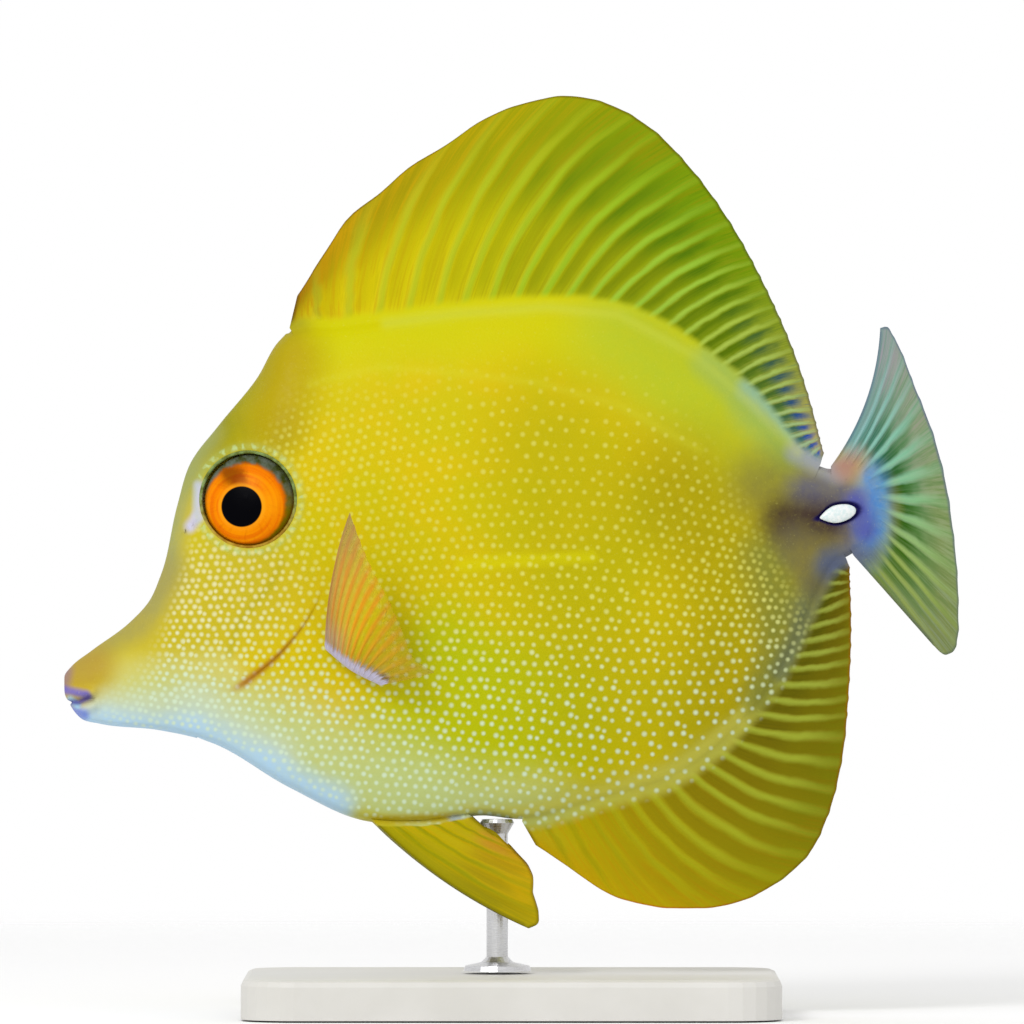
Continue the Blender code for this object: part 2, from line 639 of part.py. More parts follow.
def build_anal_fin(group):
    """The fin below the rear of the body."""
    columns = ray_columns(ANAL_RAYS)
    roots = table(ANAL_PLACES, columns[:, 0])
    root = offset_curve(between(BELLY, *ANAL_ROOT), -GAP)
    grid = fan(root, smooth_curve(ANAL_RIM), roots, table(ANAL_SPREAD, roots), ANAL_BOW, ROWS)
    grid = scallop(grid, columns[:, 1])
    keel = table(BELLY_KEEL, along(root, roots)[:, 0])
    return slab("anal_fin", upright(grid), half_thickness(columns, keel), group, "anal_fin")


def build_caudal_fin(group):
    """The tail fin, set around the rounded end of the peduncle."""
    columns = ray_columns(CAUDAL_RAYS)
    rims = table(CAUDAL_PLACES, columns[:, 0])
    spread = np.asarray(CAUDAL_SPREAD)
    roots = np.interp(rims, spread[:, 1], spread[:, 0])
    upper = offset_curve(between(BACK, CAUDAL_ROOT[0], BACK[-1, 0]), GAP)
    lower = offset_curve(between(BELLY, CAUDAL_ROOT[1], BELLY[-1, 0]), -GAP)
    root = np.vstack([upper[:-1], (upper[-1:] + lower[-1:]) / 2.0, lower[::-1][1:]])
    grid = fan(root, smooth_curve(CAUDAL_RIM), roots, rims, CAUDAL_BOW, ROWS)
    grid = scallop(grid, columns[:, 1])
    half = half_thickness(columns, np.full(len(columns), CAUDAL_ROOT_HALF))
    return slab("caudal_fin", upright(grid), half, group, "caudal_fin")


def build_pectoral_fins(group):
    """The side fins, held out from the body behind the gill covers."""
    columns = ray_columns(PECTORAL_RAYS)
    marks = columns[:, 0] / (PECTORAL_RAYS - 1)
    rows = np.asarray(ROWS)
    root = smooth_curve(PECTORAL_ROOT)
    grid = fan(root, smooth_curve(PECTORAL_RIM), marks, marks, PECTORAL_BOW,
               rows ** PECTORAL_ROW_BEND)
    grid = scallop(grid, columns[:, 1])
    base = along(root, marks)
    start = half_width(base[:, 0], base[:, 1]) + GAP
    rise = 1.0 - (1.0 - rows) ** PECTORAL_CURVE
    out = start[:, None] + table(PECTORAL_REACH, marks)[:, None] * rise
    half = half_thickness(columns, np.full(len(columns), PECTORAL_ROOT_HALF))
    for word, side in (("left", -1.0), ("right", 1.0)):
        middle = np.stack([grid[..., 0], side * out, grid[..., 1]], axis=-1)
        slab("pectoral_fin_" + word, middle, half, group, "pectoral_fin")


def build_pelvic_fins(group):
    """The paired fins under the chest."""
    columns = ray_columns(PELVIC_RAYS)
    marks = columns[:, 0] / (PELVIC_RAYS - 1)
    rows = np.asarray(ROWS)[None, :]
    root = offset_curve(between(BELLY, *PELVIC_ROOT), -GAP)
    grid = fan(root, smooth_curve(PELVIC_RIM), marks, marks, PELVIC_BOW, ROWS)
    grid = scallop(grid, columns[:, 1])
    out = PELVIC_OFFSET + PELVIC_SPREAD * rows * (1.0 - PELVIC_REAR_SHARE * marks[:, None])
    half = half_thickness(columns, np.full(len(columns), PELVIC_ROOT_HALF))
    for word, side in (("left", -1.0), ("right", 1.0)):
        middle = np.stack([grid[..., 0], side * out, grid[..., 1]], axis=-1)
        slab("pelvic_fin_" + word, middle, half, group, "pelvic_fin")


def build_stand(group):
    """A flat base with rounded corners and one turned rod up to the belly."""
    length, depth, height = BASE_SIZE
    bpy.ops.mesh.primitive_cube_add(size=1.0)
    base = bpy.context.object
    base.name = "stand_base"
    adopt(base, group)
    work = bmesh.new()
    work.from_mesh(base.data)
    bmesh.ops.scale(work, verts=work.verts, vec=Vector((length, depth, height)) * MM)
    bmesh.ops.translate(work, verts=work.verts, vec=Vector((0.0, 0.0, height / 2.0)) * MM)
    uprights = [e for e in work.edges if abs(e.verts[0].co.z - e.verts[1].co.z) > MM]
    bmesh.ops.bevel(work, geom=uprights, offset=BASE_CORNER * MM, segments=BASE_CORNER_STEPS,
                    profile=0.5, affect="EDGES")
    rim = [e for e in work.edges if min(v.co.z for v in e.verts) > (height - GAP) * MM]
    bmesh.ops.bevel(work, geom=rim, offset=BASE_EDGE * MM, segments=BASE_EDGE_STEPS,
                    profile=0.5, affect="EDGES")
    work.to_mesh(base.data)
    work.free()
    base.data.materials.append(make_material("stand_base"))
    shade(base, 30.0)
    rod = turned("stand_rod", ROD_PROFILE, ROD_STEPS, group, "stand_rod")
    rod.location = Vector((ROD_X, 0.0, height + GAP)) * MM


def build():
    """Make the whole fish and its stand."""
    clear_scene()
    parts = make_collection("scopas_tang")
    cutters = make_collection("cutters")
    build_head(parts, cutters)
    build_torso(parts)
    build_tail(parts, cutters)
    build_eyes(parts)
    build_dorsal_fin(parts)
    build_anal_fin(parts)
    build_caudal_fin(parts)
    build_pectoral_fins(parts)
    build_pelvic_fins(parts)
    build_stand(parts)


build()
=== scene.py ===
"""Scopas tang, yellow form, on its stand: the looks of every piece, the light and the camera.

Sizes are in millimetres until a mesh is made. Outlines are (x, z) points in the plane of
symmetry. The outlines and the surface of the body are those of the solids, so each piece
lies where its node is.
"""
import math
from collections import namedtuple

import bpy
import numpy as np
from mathutils import Matrix, Vector


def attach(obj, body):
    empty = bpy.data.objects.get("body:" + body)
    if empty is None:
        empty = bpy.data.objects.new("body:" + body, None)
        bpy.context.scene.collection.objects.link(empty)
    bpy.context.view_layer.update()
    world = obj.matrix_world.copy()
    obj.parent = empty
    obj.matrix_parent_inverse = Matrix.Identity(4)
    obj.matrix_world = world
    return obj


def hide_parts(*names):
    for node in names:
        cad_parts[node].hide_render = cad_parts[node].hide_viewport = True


MM = 0.001
SIDES = (("left", -1.0), ("right", 1.0))

# The outline of head and body, without fins, from the snout to the tail.
BACK_LINE = [
    (-50.1, 36.8), (-50.05, 37.9), (-49.3, 38.9), (-47.0, 40.7), (-42.7, 43.9), (-40.6, 46.2),
    (-39.3, 49.1), (-37.4, 57.1), (-36.0, 61.6), (-32.8, 65.9), (-28.5, 71.2), (-26.0, 75.4),
    (-24.8, 76.5), (-19.2, 77.2), (-5.8, 79.0), (4.0, 79.7), (12.2, 78.9), (21.1, 74.1),
    (27.5, 68.6), (33.4, 61.9), (35.2, 61.1), (38.0, 61.0), (39.6, 59.4), (40.4, 57.6),
    (40.6, 56.2)]
BELLY_LINE = [
    (-50.1, 36.8), (-50.0, 35.7), (-49.6, 34.9), (-49.0, 33.9), (-48.1, 33.0), (-46.2, 32.5),
    (-39.4, 31.75), (-34.0, 30.5), (-24.8, 25.3), (-16.4, 21.6), (-10.2, 21.3), (-3.0, 22.2),
    (0.8, 21.8), (9.9, 23.9), (18.9, 26.8), (25.8, 32.5), (30.6, 39.3), (34.0, 46.6),
    (36.0, 50.3), (37.9, 51.4), (39.4, 52.4), (40.3, 54.2), (40.6, 56.2)]

# Half widths (x, y) of the body at its widest height, and those of its upper and lower edge.
HALF_WIDTHS = [
    (-50.0, 1.6), (-48.0, 2.1), (-44.0, 2.8), (-40.0, 3.7), (-35.0, 4.8), (-29.4, 5.8),
    (-20.0, 6.6), (-8.0, 6.7), (4.0, 6.2), (16.0, 5.2), (25.0, 4.0), (31.0, 2.9),
    (36.0, 2.0), (40.6, 1.3)]
BACK_KEEL = [(-50.0, 0.5), (-25.0, 0.5), (33.0, 0.5), (38.0, 1.1), (40.6, 1.1)]
BELLY_KEEL = [(-50.0, 0.5), (-34.0, 0.8), (-16.0, 1.1), (-4.0, 1.0), (2.0, 0.5), (34.0, 0.5),
              (38.0, 1.1), (40.6, 1.1)]
BACK_FULLNESS = 0.66
BELLY_FULLNESS = [(-50.0, 0.5), (-30.0, 0.46), (-6.0, 0.46), (6.0, 0.62), (40.6, 0.66)]
FACE_ROUNDING = [(21.0, 0.3), (27.0, 0.6), (31.5, 2.2), (34.0, 3.4), (60.0, 4.2), (70.0, 3.2),
                 (77.0, 1.0), (80.0, 0.3)]
GILL_EDGE = [(-25.1, 76.2), (-23.4, 68.7), (-21.0, 60.9), (-19.9, 55.9), (-20.4, 50.8),
             (-21.9, 45.8), (-25.6, 40.7), (-30.4, 36.6), (-33.6, 33.6), (-35.0, 30.9)]

# Stations of the skin: x on the back line and x on the belly line.
HEAD_STATIONS = [
    (-50.07, -50.07), (-49.95, -49.95), (-49.6, -49.65), (-49.1, -49.25), (-48.55, -48.9),
    (-47.95, -48.55), (-47.3, -48.2), (-46.6, -47.8), (-45.7, -47.3), (-44.5, -46.7),
    (-43.0, -45.8), (-41.6, -44.8), (-40.4, -43.6), (-39.6, -42.5),
    (-39.0, -41.4), (-38.4, -40.4), (-37.8, -39.5), (-37.0, -38.7), (-35.9, -38.0),
    (-34.2, -37.4), (-32.0, -36.8), (-29.7, -36.2), (-27.4, -35.6), (-25.1, -35.0)]
TORSO_STATIONS = [
    (-25.1, -35.0), (-23.2, -32.6), (-20.8, -29.6), (-18.0, -26.2), (-15.0, -22.6),
    (-11.8, -18.6), (-8.6, -14.4), (-5.2, -10.2), (-1.8, -6.0), (1.7, -1.8),
    (5.2, 2.4), (8.7, 6.6), (12.2, 10.8), (15.6, 14.8), (18.8, 18.6),
    (21.8, 22.0), (24.6, 25.0), (27.2, 27.6), (29.4, 29.8), (31.4, 31.6), (33.2, 33.2)]
TAIL_STATIONS = [(33.2, 33.2), (34.8, 34.8), (36.4, 36.4), (38.0, 38.0), (39.3, 39.3),
                 (40.2, 40.2), (40.55, 40.55)]
RING_MARKS = 118
HEAD_STEPS = 7
TORSO_STEPS = 8
TAIL_STEPS = 9
HEAD_BEND = 1.6
TORSO_BEND = 1.15
TORSO_BEND_STATIONS = 9.0

# The step at the edge of the gill cover: (distance behind the edge, rise).
GILL_STEP = [(-0.16, 0.16), (-0.06, 0.14), (0.0, 0.09), (0.06, 0.02), (0.16, -0.04)]
FLAP_REACH = 2.6
RECESS_REACH = 0.9
FLAP_LOW = (35.6, 39.0)
FLAP_HIGH = (40.0, 50.0)

# Mouth, lips, nostrils, crease and unevenness.
MOUTH = [(-50.4, 34.8), (-48.6, 35.0), (-46.8, 35.3)]
MOUTH_CREASE = [(-49.9, 34.9), (-48.4, 34.9), (-47.2, 35.5)]
MOUTH_WIDTH = 0.2
MOUTH_DEPTH = 0.24
MOUTH_NOTCH = 0.35
UPPER_LIP = [(-50.0, 35.9), (-48.4, 36.0), (-46.8, 36.1)]
LOWER_LIP = [(-48.9, 34.1), (-48.0, 34.0), (-46.8, 34.4)]
LIP_RISE = 0.42
LIP_SPREAD = 0.38
NOSTRILS = [(-35.4, 54.7, 0.34), (-36.4, 54.0, 0.28)]
NOSTRIL_DEPTH = 0.5
NOSTRIL_RIM = 0.08
PREOPERCLE = [(-25.6, 50.6), (-26.5, 48.6), (-27.5, 47.2), (-30.1, 44.3), (-30.9, 42.4),
              (-31.5, 40.2)]
CREASE_DEPTH = 0.04
SWAY = 0.05
BACK_EDGE = [(-14.0, 77.3), (-5.8, 78.4), (4.0, 79.1), (12.0, 78.3), (20.8, 73.6), (27.2, 68.1),
             (32.0, 62.9)]
LATERAL_LINE = [(-22.5, 70.5), (-14.7, 72.4), (-5.0, 71.6), (3.2, 70.6), (12.3, 68.0),
                (21.1, 63.1)]

# Eyes: (radius, height) of the domed front, and what is seen in it, from the eye's centre.
EYE_CENTRE = (-29.4, 57.6)
EYE_PROFILE = [(0.0, 1.15), (1.5, 1.06), (3.0, 0.76), (4.2, 0.28), (4.85, -0.2), (5.2, -0.8)]
EYE_BACK = [(5.0, -1.6), (3.4, -2.4), (0.0, -2.7)]
SOCKET_RADIUS = 5.2
SOCKET_DEPTH = 2.6
SOCKET_PULL = 0.6
ORBIT_RADIUS = 5.75
ORBIT_RISE = 0.16
EYE_RING_RADIUS = 5.95
EYE_BEADS = 31
EYE_RIM_RADIUS = 5.32
EYE_RIM_TUBE = 0.2

# Tail spines.
SPINE_CENTRE = (36.5, 56.0)
SPINE_LENGTH = 4.2
SPINE_HEIGHT = 2.0
SPINE_THICKNESS = 1.0
SPINE_TILT = math.radians(13.0)
SPINE_TAPER = 0.55
SPINE_BED = 0.4

# Fin rims and roots, from the front ray to the rear ray. Places are (ray number, share of the
# root's length, or of the rim's for the tail fin), and a spread is (share of root, share of rim).
DORSAL_ROOT = (-24.7, 34.5)
DORSAL_RIM = [
    (-24.0, 80.4), (-20.4, 86.1), (-18.3, 89.2), (-14.9, 91.8), (-11.4, 94.9), (-7.2, 97.4),
    (-3.5, 100.0), (2.1, 102.2), (6.6, 102.85), (11.0, 101.9), (15.3, 99.5), (19.9, 95.0),
    (24.0, 89.5), (28.6, 81.2), (32.0, 73.3), (33.7, 67.9), (35.0, 62.8)]
DORSAL_RAYS = 30
DORSAL_ROWS = 64
DORSAL_ROOT_HALF = 0.4
DORSAL_PLACES = [(0, 0.0), (5, 0.255), (9, 0.432), (13, 0.585), (17, 0.712), (21, 0.816),
                 (24, 0.884), (29, 1.0)]
DORSAL_SPREAD = [(0.0, 0.0), (0.05, 0.04), (0.10, 0.147), (0.15, 0.264), (0.20, 0.35),
                 (0.30, 0.47), (0.397, 0.56), (0.516, 0.67), (0.616, 0.748), (0.725, 0.817),
                 (0.814, 0.886), (0.904, 0.96), (1.0, 1.0)]
DORSAL_BOW = [(0.0, 0.0), (0.12, 0.06), (0.35, 0.09), (0.7, 0.05), (1.0, 0.02)]
ANAL_ROOT = (1.2, 37.4)
ANAL_RIM = [
    (2.7, 18.9), (6.6, 16.25), (11.0, 13.35), (16.1, 11.95), (20.0, 11.75), (24.5, 12.2),
    (29.1, 14.2), (33.6, 18.2), (35.5, 22.2), (37.1, 28.6), (37.8, 35.6), (38.1, 43.5),
    (37.9, 50.0)]
ANAL_RAYS = 25
ANAL_ROWS = 56
ANAL_ROOT_HALF = 0.4
ANAL_PLACES = [(0, 0.0), (8, 0.395), (12, 0.551), (16, 0.713), (20, 0.848), (24, 1.0)]
ANAL_SPREAD = [(0.0, 0.0), (0.06, 0.103), (0.15, 0.243), (0.24, 0.382), (0.33, 0.49),
               (0.40, 0.554), (0.475, 0.63), (0.565, 0.737), (0.63, 0.78), (0.72, 0.85),
               (0.86, 0.957), (1.0, 1.0)]
ANAL_BOW = [(0.0, 0.0), (0.12, -0.02), (0.3, -0.1), (0.5, -0.05), (1.0, -0.02)]
CAUDAL_ROOT = (35.8, 38.2)
CAUDAL_RIM = [
    (41.3, 76.8), (42.0, 77.05), (42.8, 75.9), (45.2, 70.3), (47.3, 64.9), (48.7, 59.5),
    (49.5, 54.2), (50.0, 49.0), (50.1, 44.6), (50.0, 42.0), (49.4, 40.4), (48.6, 40.2),
    (47.2, 41.3)]
CAUDAL_RAYS = 15
CAUDAL_ROWS = 60
CAUDAL_ROOT_HALF = 1.1
CAUDAL_PLACES = [(0, 0.0), (2, 0.113), (4, 0.24), (9, 0.715), (11, 0.869), (14, 1.0)]
CAUDAL_SPREAD = [(0.0, 0.0), (0.13, 0.09), (0.27, 0.26), (0.5, 0.56), (0.75, 0.87), (1.0, 1.0)]
CAUDAL_BOW = [(0.0, -0.075), (0.15, -0.035), (0.4, 0.0), (1.0, 0.0)]
PECTORAL_ROOT = [(-20.4, 41.3), (-17.6, 39.0), (-14.5, 37.4)]
PECTORAL_RIM = [
    (-17.9, 56.1), (-17.0, 53.6), (-15.5, 50.0), (-13.4, 46.0), (-11.8, 42.2), (-10.8, 39.9),
    (-8.6, 38.4)]
PECTORAL_RAYS = 14
PECTORAL_ROWS = 44
PECTORAL_ROOT_HALF = 0.55
PECTORAL_BOW = [(0.0, 0.05), (0.5, 0.06), (1.0, -0.02)]
PECTORAL_REACH = [(0.0, 10.0), (0.5, 8.5), (1.0, 4.5)]
PELVIC_ROOT = (-15.0, -4.5)
PELVIC_RIM = [
    (1.9, 9.75), (3.0, 10.2), (2.9, 12.0), (2.4, 13.9), (2.5, 15.2), (1.9, 16.5), (0.4, 18.2),
    (-1.8, 20.3)]
PELVIC_RAYS = 6
PELVIC_ROWS = 56
PELVIC_ROOT_HALF = 0.5
PELVIC_BOW = [(0.0, -0.045), (1.0, 0.0)]
PELVIC_OFFSET = 1.5
PELVIC_SPREAD = 3.4
GAP = 0.3

# Thickness of the fins, as half thicknesses, and the columns of one space between rays.
MEMBRANE_HALF = 0.22
RIM_HALF = 0.1
RAY_RISE = 0.19
RAY_HALF_SPACE = 0.22
SCALLOP = 0.08
ROOT_DEPTHS = (0.9, 0.45)
# Seat of the upright fins on the skin: depths of its rows, lift, slope and softness.
SEAT_DEPTHS = (1.7, 1.2, 0.9, 0.6, 0.35, 0.15)
SEAT_LIFT = 0.012
SEAT_SLOPE = 0.5
SEAT_FILLET = 0.22
SEAT_SOFTNESS = 0.4
COLUMN_OFFSETS = (0.0, 0.08, 0.16, 0.25, 0.38, 0.5, 0.62, 0.75, 0.84, 0.92)

# Light: how bright a white surface that faces the camera comes out, and the veil of gloss.
# Then the places of lamp and camera, and the floor with the radii between which it fades.
BRIGHTNESS = 1.28
VEIL = 0.01
LAMP_PLACE = (-280.0, -520.0, 420.0)
LAMP_AIM = (0.0, 0.0, 55.0)
CAMERA_PLACE = (0.056, -1500.0, 56.2)
FLOOR_RADIUS = 420.0
FLOOR_HEIGHT = -0.2
FLOOR_FADE = (200.0, 410.0)

# Spacing of the dots: its logarithm is the real part of this polynomial of a point (x, z).
# Then their radius, the distance between their rows and the steps that place them.
DOT_ORIGIN = (0.0, 50.0)
DOT_SCALE = 40.0
DOT_SPACING = [0.25, 0.233 - 0.306j, -0.47 - 0.147j, -0.501 + 0.268j, -0.253 + 0.203j]
DOT_RADIUS = 0.27
DOT_ROW = math.sqrt(0.75)
DOT_STEPS = 16
# Strokes (x1, z1, x2, z2, radius) over the brow, which has no dots.
BARE_BROW = [(-31.0, 66.0, -26.0, 72.0, 6.0), (-35.5, 60.5, -34.5, 63.0, 3.0)]

# Soft zones of the skin, painted in this order: picture colour, strength, and strokes
# (x1, z1, x2, z2, radius).
SKIN_ZONES = {
    "back_light": ((206, 206, 22), 0.75, [
        (-20.3, 76.3, -4.6, 79.5, 9.0), (-4.6, 79.5, 9.9, 78.9, 10.0),
        (9.9, 77.9, 21.1, 70.7, 9.0)]),
    "back_green": ((180, 196, 50), 0.75, [(13.0, 76.3, 28.0, 62.6, 10.0)]),
    "flank_green": ((184, 194, 26), 0.85, [
        (-9.0, 30.0, 4.0, 33.0, 13.0), (4.0, 33.0, -8.0, 41.0, 8.0)]),
    "rear_ochre": ((172, 158, 14), 0.85, [
        (19.0, 57.5, 28.0, 50.8, 13.0), (28.0, 50.8, 23.0, 33.8, 12.0)]),
    "flank_rear": ((182, 174, 8), 0.65, [(5.0, 63.0, 11.0, 34.0, 14.0)]),
    "cheek_tan": ((200, 184, 50), 0.8, [
        (-43.6, 39.2, -33.5, 47.5, 9.0), (-33.5, 47.5, -30.7, 48.3, 11.5)]),
    "cheek_pale": ((212, 206, 118), 0.8, [
        (-42.5, 37.0, -33.0, 37.6, 4.6), (-33.0, 37.6, -29.0, 34.0, 4.0)]),
    "forehead_olive": ((152, 154, 44), 0.95, [
        (-37.3, 62.6, -29.9, 71.9, 7.0), (-29.9, 71.9, -25.7, 77.6, 4.6)]),
    "eye_olive": ((146, 140, 24), 0.55, [(-33.4, 65.0, -26.8, 64.8, 5.4)]),
    "brow_gray": ((158, 166, 104), 0.85, [
        (-40.6, 46.4, -39.2, 50.8, 2.6), (-39.2, 50.8, -37.2, 60.9, 3.4),
        (-37.2, 60.9, -34.6, 65.2, 3.4)]),
    "nape_gold": ((180, 156, 14), 0.75, [(-24.6, 73.3, -26.0, 67.5, 6.5)]),
    "snout_tan": ((168, 158, 84), 0.85, [
        (-48.6, 39.6, -42.5, 44.6, 3.6), (-42.5, 44.6, -39.2, 49.2, 4.8)]),
    "snout_tip": ((184, 150, 60), 0.7, [(-48.8, 37.8, -46.8, 38.8, 4.2)]),
    "snout_edge": ((146, 116, 136), 0.7, [(-50.3, 36.6, -50.0, 38.4, 1.5)]),
    "belly_pale": ((196, 210, 138), 0.9, [
        (-39.1, 32.4, -25.9, 28.7, 9.0), (-25.9, 28.7, -12.5, 23.1, 11.0),
        (-12.5, 23.1, 2.0, 21.0, 9.0)]),
    "throat_white": ((204, 218, 186), 0.8, [
        (-45.0, 34.2, -35.0, 34.2, 3.4), (-35.0, 34.2, -26.5, 28.8, 4.6)]),
    "chin_blue": ((184, 220, 246), 0.95, [
        (-47.0, 32.4, -36.0, 30.8, 3.6), (-36.0, 30.8, -27.9, 26.8, 5.0),
        (-27.9, 26.8, -20.0, 23.4, 4.0)]),
    "pelvic_root": ((198, 190, 40), 0.9, [(-16.5, 21.8, -13.0, 20.4, 2.2)]),
    "pelvic_base": ((190, 168, 18), 0.9, [(-15.2, 21.7, -6.0, 22.0, 1.0)]),
    "belly_glint": ((160, 186, 208), 0.7, [(-6.6, 21.9, -1.6, 22.2, 0.7)]),
    "anal_pale": ((182, 184, 84), 0.75, [
        (0.0, 20.8, 15.4, 24.1, 5.0), (15.4, 24.1, 26.6, 31.3, 4.0),
        (26.6, 31.3, 32.8, 40.7, 3.2)]),
    # Painted light: a paler strip along the belly's edge above the anal fin's root, where the rounded
    # underside faces down and comes out shaded.
    "anal_edge_painted_light": ((206, 200, 84), 0.6, [
        (-5.0, 22.8, 0.6, 22.4, 1.3), (0.6, 22.4, 9.7, 24.5, 1.4), (9.7, 24.5, 18.6, 27.4, 1.4),
        (18.6, 27.4, 25.3, 32.9, 1.3), (25.3, 32.9, 30.1, 39.7, 1.1)]),
    "rear_olive": ((134, 136, 58), 0.85, [
        (29.0, 51.0, 31.0, 43.0, 5.6), (31.0, 43.0, 28.0, 35.5, 3.8)]),
    "rear_band": ((116, 124, 90), 0.8, [
        (30.4, 38.4, 33.4, 45.0, 2.2), (33.4, 45.0, 36.1, 50.4, 3.6)]),
    "back_mint": ((158, 186, 88), 0.8, [
        (22.0, 73.0, 27.5, 68.0, 3.0), (27.5, 68.0, 31.5, 63.5, 4.6)]),
    "back_cyan": ((140, 184, 168), 0.7, [(26.5, 70.0, 34.2, 62.8, 2.1)]),
    "peduncle_olive": ((126, 120, 66), 0.65, [(28.5, 59.4, 34.0, 58.4, 6.4)]),
    "peduncle_gray": ((104, 102, 116), 0.9, [
        (33.3, 58.5, 36.6, 57.5, 4.0), (36.6, 57.5, 38.4, 53.1, 4.4)]),
    "smudge": ((66, 50, 50), 0.9, [(30.6, 55.2, 34.8, 55.0, 4.4)]),
    "low_gray": ((114, 106, 78), 0.7, [
        (31.6, 53.0, 35.0, 51.2, 3.8), (32.4, 51.4, 34.0, 48.6, 3.4)]),
    "tail_blue": ((92, 146, 208), 0.95, [
        (42.6, 72.0, 42.0, 66.0, 1.2), (42.0, 66.0, 41.0, 60.0, 2.2),
        (40.9, 60.0, 41.0, 50.5, 3.6), (41.0, 50.5, 43.6, 47.5, 2.2)]),
    "peduncle_lilac": ((156, 160, 176), 0.8, [(32.0, 63.0, 36.4, 60.8, 2.2)]),
    "peduncle_pink": ((176, 136, 118), 0.95, [
        (37.4, 61.2, 39.6, 64.2, 2.6), (39.6, 64.2, 40.8, 68.4, 1.9)]),
    "peduncle_low": ((96, 106, 134), 0.85, [(35.8, 50.3, 40.7, 50.9, 3.0)]),
    "violet": ((88, 92, 170), 0.85, [(38.7, 57.4, 39.6, 54.2, 2.3)]),
    "streak": ((222, 216, 24), 0.5, [(-5.5, 50.3, 2.0, 50.9, 1.2), (2.0, 50.9, 9.0, 51.2, 1.0)]),
    "eye_streak": ((206, 206, 246), 0.8, [
        (-35.0, 59.2, -35.1, 55.6, 0.9), (-35.1, 55.6, -35.9, 54.6, 1.1)]),
    "lip_purple": ((116, 108, 196), 0.85, [(-50.2, 36.3, -47.6, 35.8, 0.8)]),
    "lip_blue": ((116, 140, 232), 0.85, [(-49.4, 34.0, -47.9, 33.5, 1.1)]),
    "lip_shine": ((166, 220, 246), 0.8, [(-49.4, 35.2, -48.6, 34.6, 0.7)]),
}
# Thin lines on the skin: picture colour, strength, points and half width.
SKIN_LINES = {
    "lateral_line": ((214, 216, 60), 0.2, LATERAL_LINE, 0.3),
    "back_edge": ((206, 216, 84), 0.35, BACK_EDGE, 0.45),
    "preopercle_line": ((164, 158, 30), 0.3, PREOPERCLE, 0.3),
    # Painted shade: a dark violet line in the mouth's crease between the lips.
    "mouth_crease_shade": ((78, 66, 160), 0.85, MOUTH_CREASE, 0.26),
}


def table(pairs, values):
    """Read a table of (key, value) pairs at the given keys."""
    pairs = np.asarray(pairs, dtype=float)
    return np.interp(values, pairs[:, 0], pairs[:, 1])


def smooth_curve(points, steps=12):
    """Run a smooth curve through the points and return it as close-set points."""
    points = np.asarray(points, dtype=float)
    gaps = np.linalg.norm(np.diff(points, axis=0), axis=1)
    slopes = np.diff(points, axis=0) / gaps[:, None]
    tangents = np.empty_like(points)
    tangents[0] = slopes[0]
    tangents[-1] = slopes[-1]
    before = gaps[:-1, None]
    after = gaps[1:, None]
    tangents[1:-1] = (slopes[:-1] * after + slopes[1:] * before) / (before + after)
    share = np.linspace(0.0, 1.0, steps, endpoint=False)[:, None]
    pieces = []
    for i, gap in enumerate(gaps):
        pieces.append(
            (2 * share ** 3 - 3 * share ** 2 + 1) * points[i]
            + (share ** 3 - 2 * share ** 2 + share) * gap * tangents[i]
            + (3 * share ** 2 - 2 * share ** 3) * points[i + 1]
            + (share ** 3 - share ** 2) * gap * tangents[i + 1])
    pieces.append(points[-1:])
    return np.vstack(pieces)


def along(curve, marks, values=None):
    """Points, or other values kept per point, at the given shares of a curve's length."""
    steps = np.linalg.norm(np.diff(curve, axis=0), axis=1)
    length = np.concatenate(([0.0], np.cumsum(steps)))
    where = np.asarray(marks) * length[-1]
    values = curve if values is None else values
    columns = [np.interp(where, length, values[:, k]) for k in range(values.shape[1])]
    return np.stack(columns, axis=-1)


def left_of(curve):
    """Directions to the left of a curve's own direction."""
    direction = np.gradient(curve, axis=0)
    direction /= np.linalg.norm(direction, axis=1)[:, None]
    return np.stack([-direction[:, 1], direction[:, 0]], axis=-1)


def offset_curve(curve, distance):
    """Move a curve to the left of its own direction by a distance."""
    return curve + left_of(curve) * distance


def between(curve, first, last):
    """The part of a curve that runs from x = first to x = last."""
    inside = curve[(curve[:, 0] > first) & (curve[:, 0] < last)]
    return np.vstack([(first, table(curve, first)), inside, (last, table(curve, last))])


BACK = smooth_curve(BACK_LINE)
BELLY = smooth_curve(BELLY_LINE)
GILL = smooth_curve(GILL_EDGE)
WIDTH = smooth_curve(HALF_WIDTHS)


def soft_step(value, low, high):
    """A smooth rise from 0 at low to 1 at high."""
    share = np.clip((value - low) / (high - low), 0.0, 1.0)
    return share * share * (3.0 - 2.0 * share)


def bump(distance, spread):
    """A rounded rise that falls away with distance."""
    return np.exp(-0.5 * (distance / spread) ** 2)


def distance_to(curve, x, z):
    """Distance from points of the side view to a curve of straight pieces."""
    nearest = np.full(np.shape(x), np.inf)
    for (x1, z1), (x2, z2) in zip(curve[:-1], curve[1:]):
        nearest = np.minimum(nearest, distance_to_piece(x, z, x1, z1, x2, z2))
    return nearest


def distance_to_piece(x, z, x1, z1, x2, z2):
    """Distance from points of the side view to one straight piece."""
    dx, dz = x2 - x1, z2 - z1
    share = ((x - x1) * dx + (z - z1) * dz) / max(dx * dx + dz * dz, 1e-9)
    share = np.clip(share, 0.0, 1.0)
    return np.hypot(x - x1 - share * dx, z - z1 - share * dz)


def front_edge(z):
    """The x of the front outline at each height."""
    rising = BACK[:int(np.argmax(BACK[:, 1])) + 1]
    falling = BELLY[:int(np.argmin(BELLY[:, 1])) + 1][::-1]
    outline = np.vstack([falling[:-1], rising])
    return np.interp(z, outline[:, 1], outline[:, 0])


def from_eye(x, z):
    """Distance from points of the side view to the eye's centre."""
    return np.hypot(x - EYE_CENTRE[0], z - EYE_CENTRE[1])


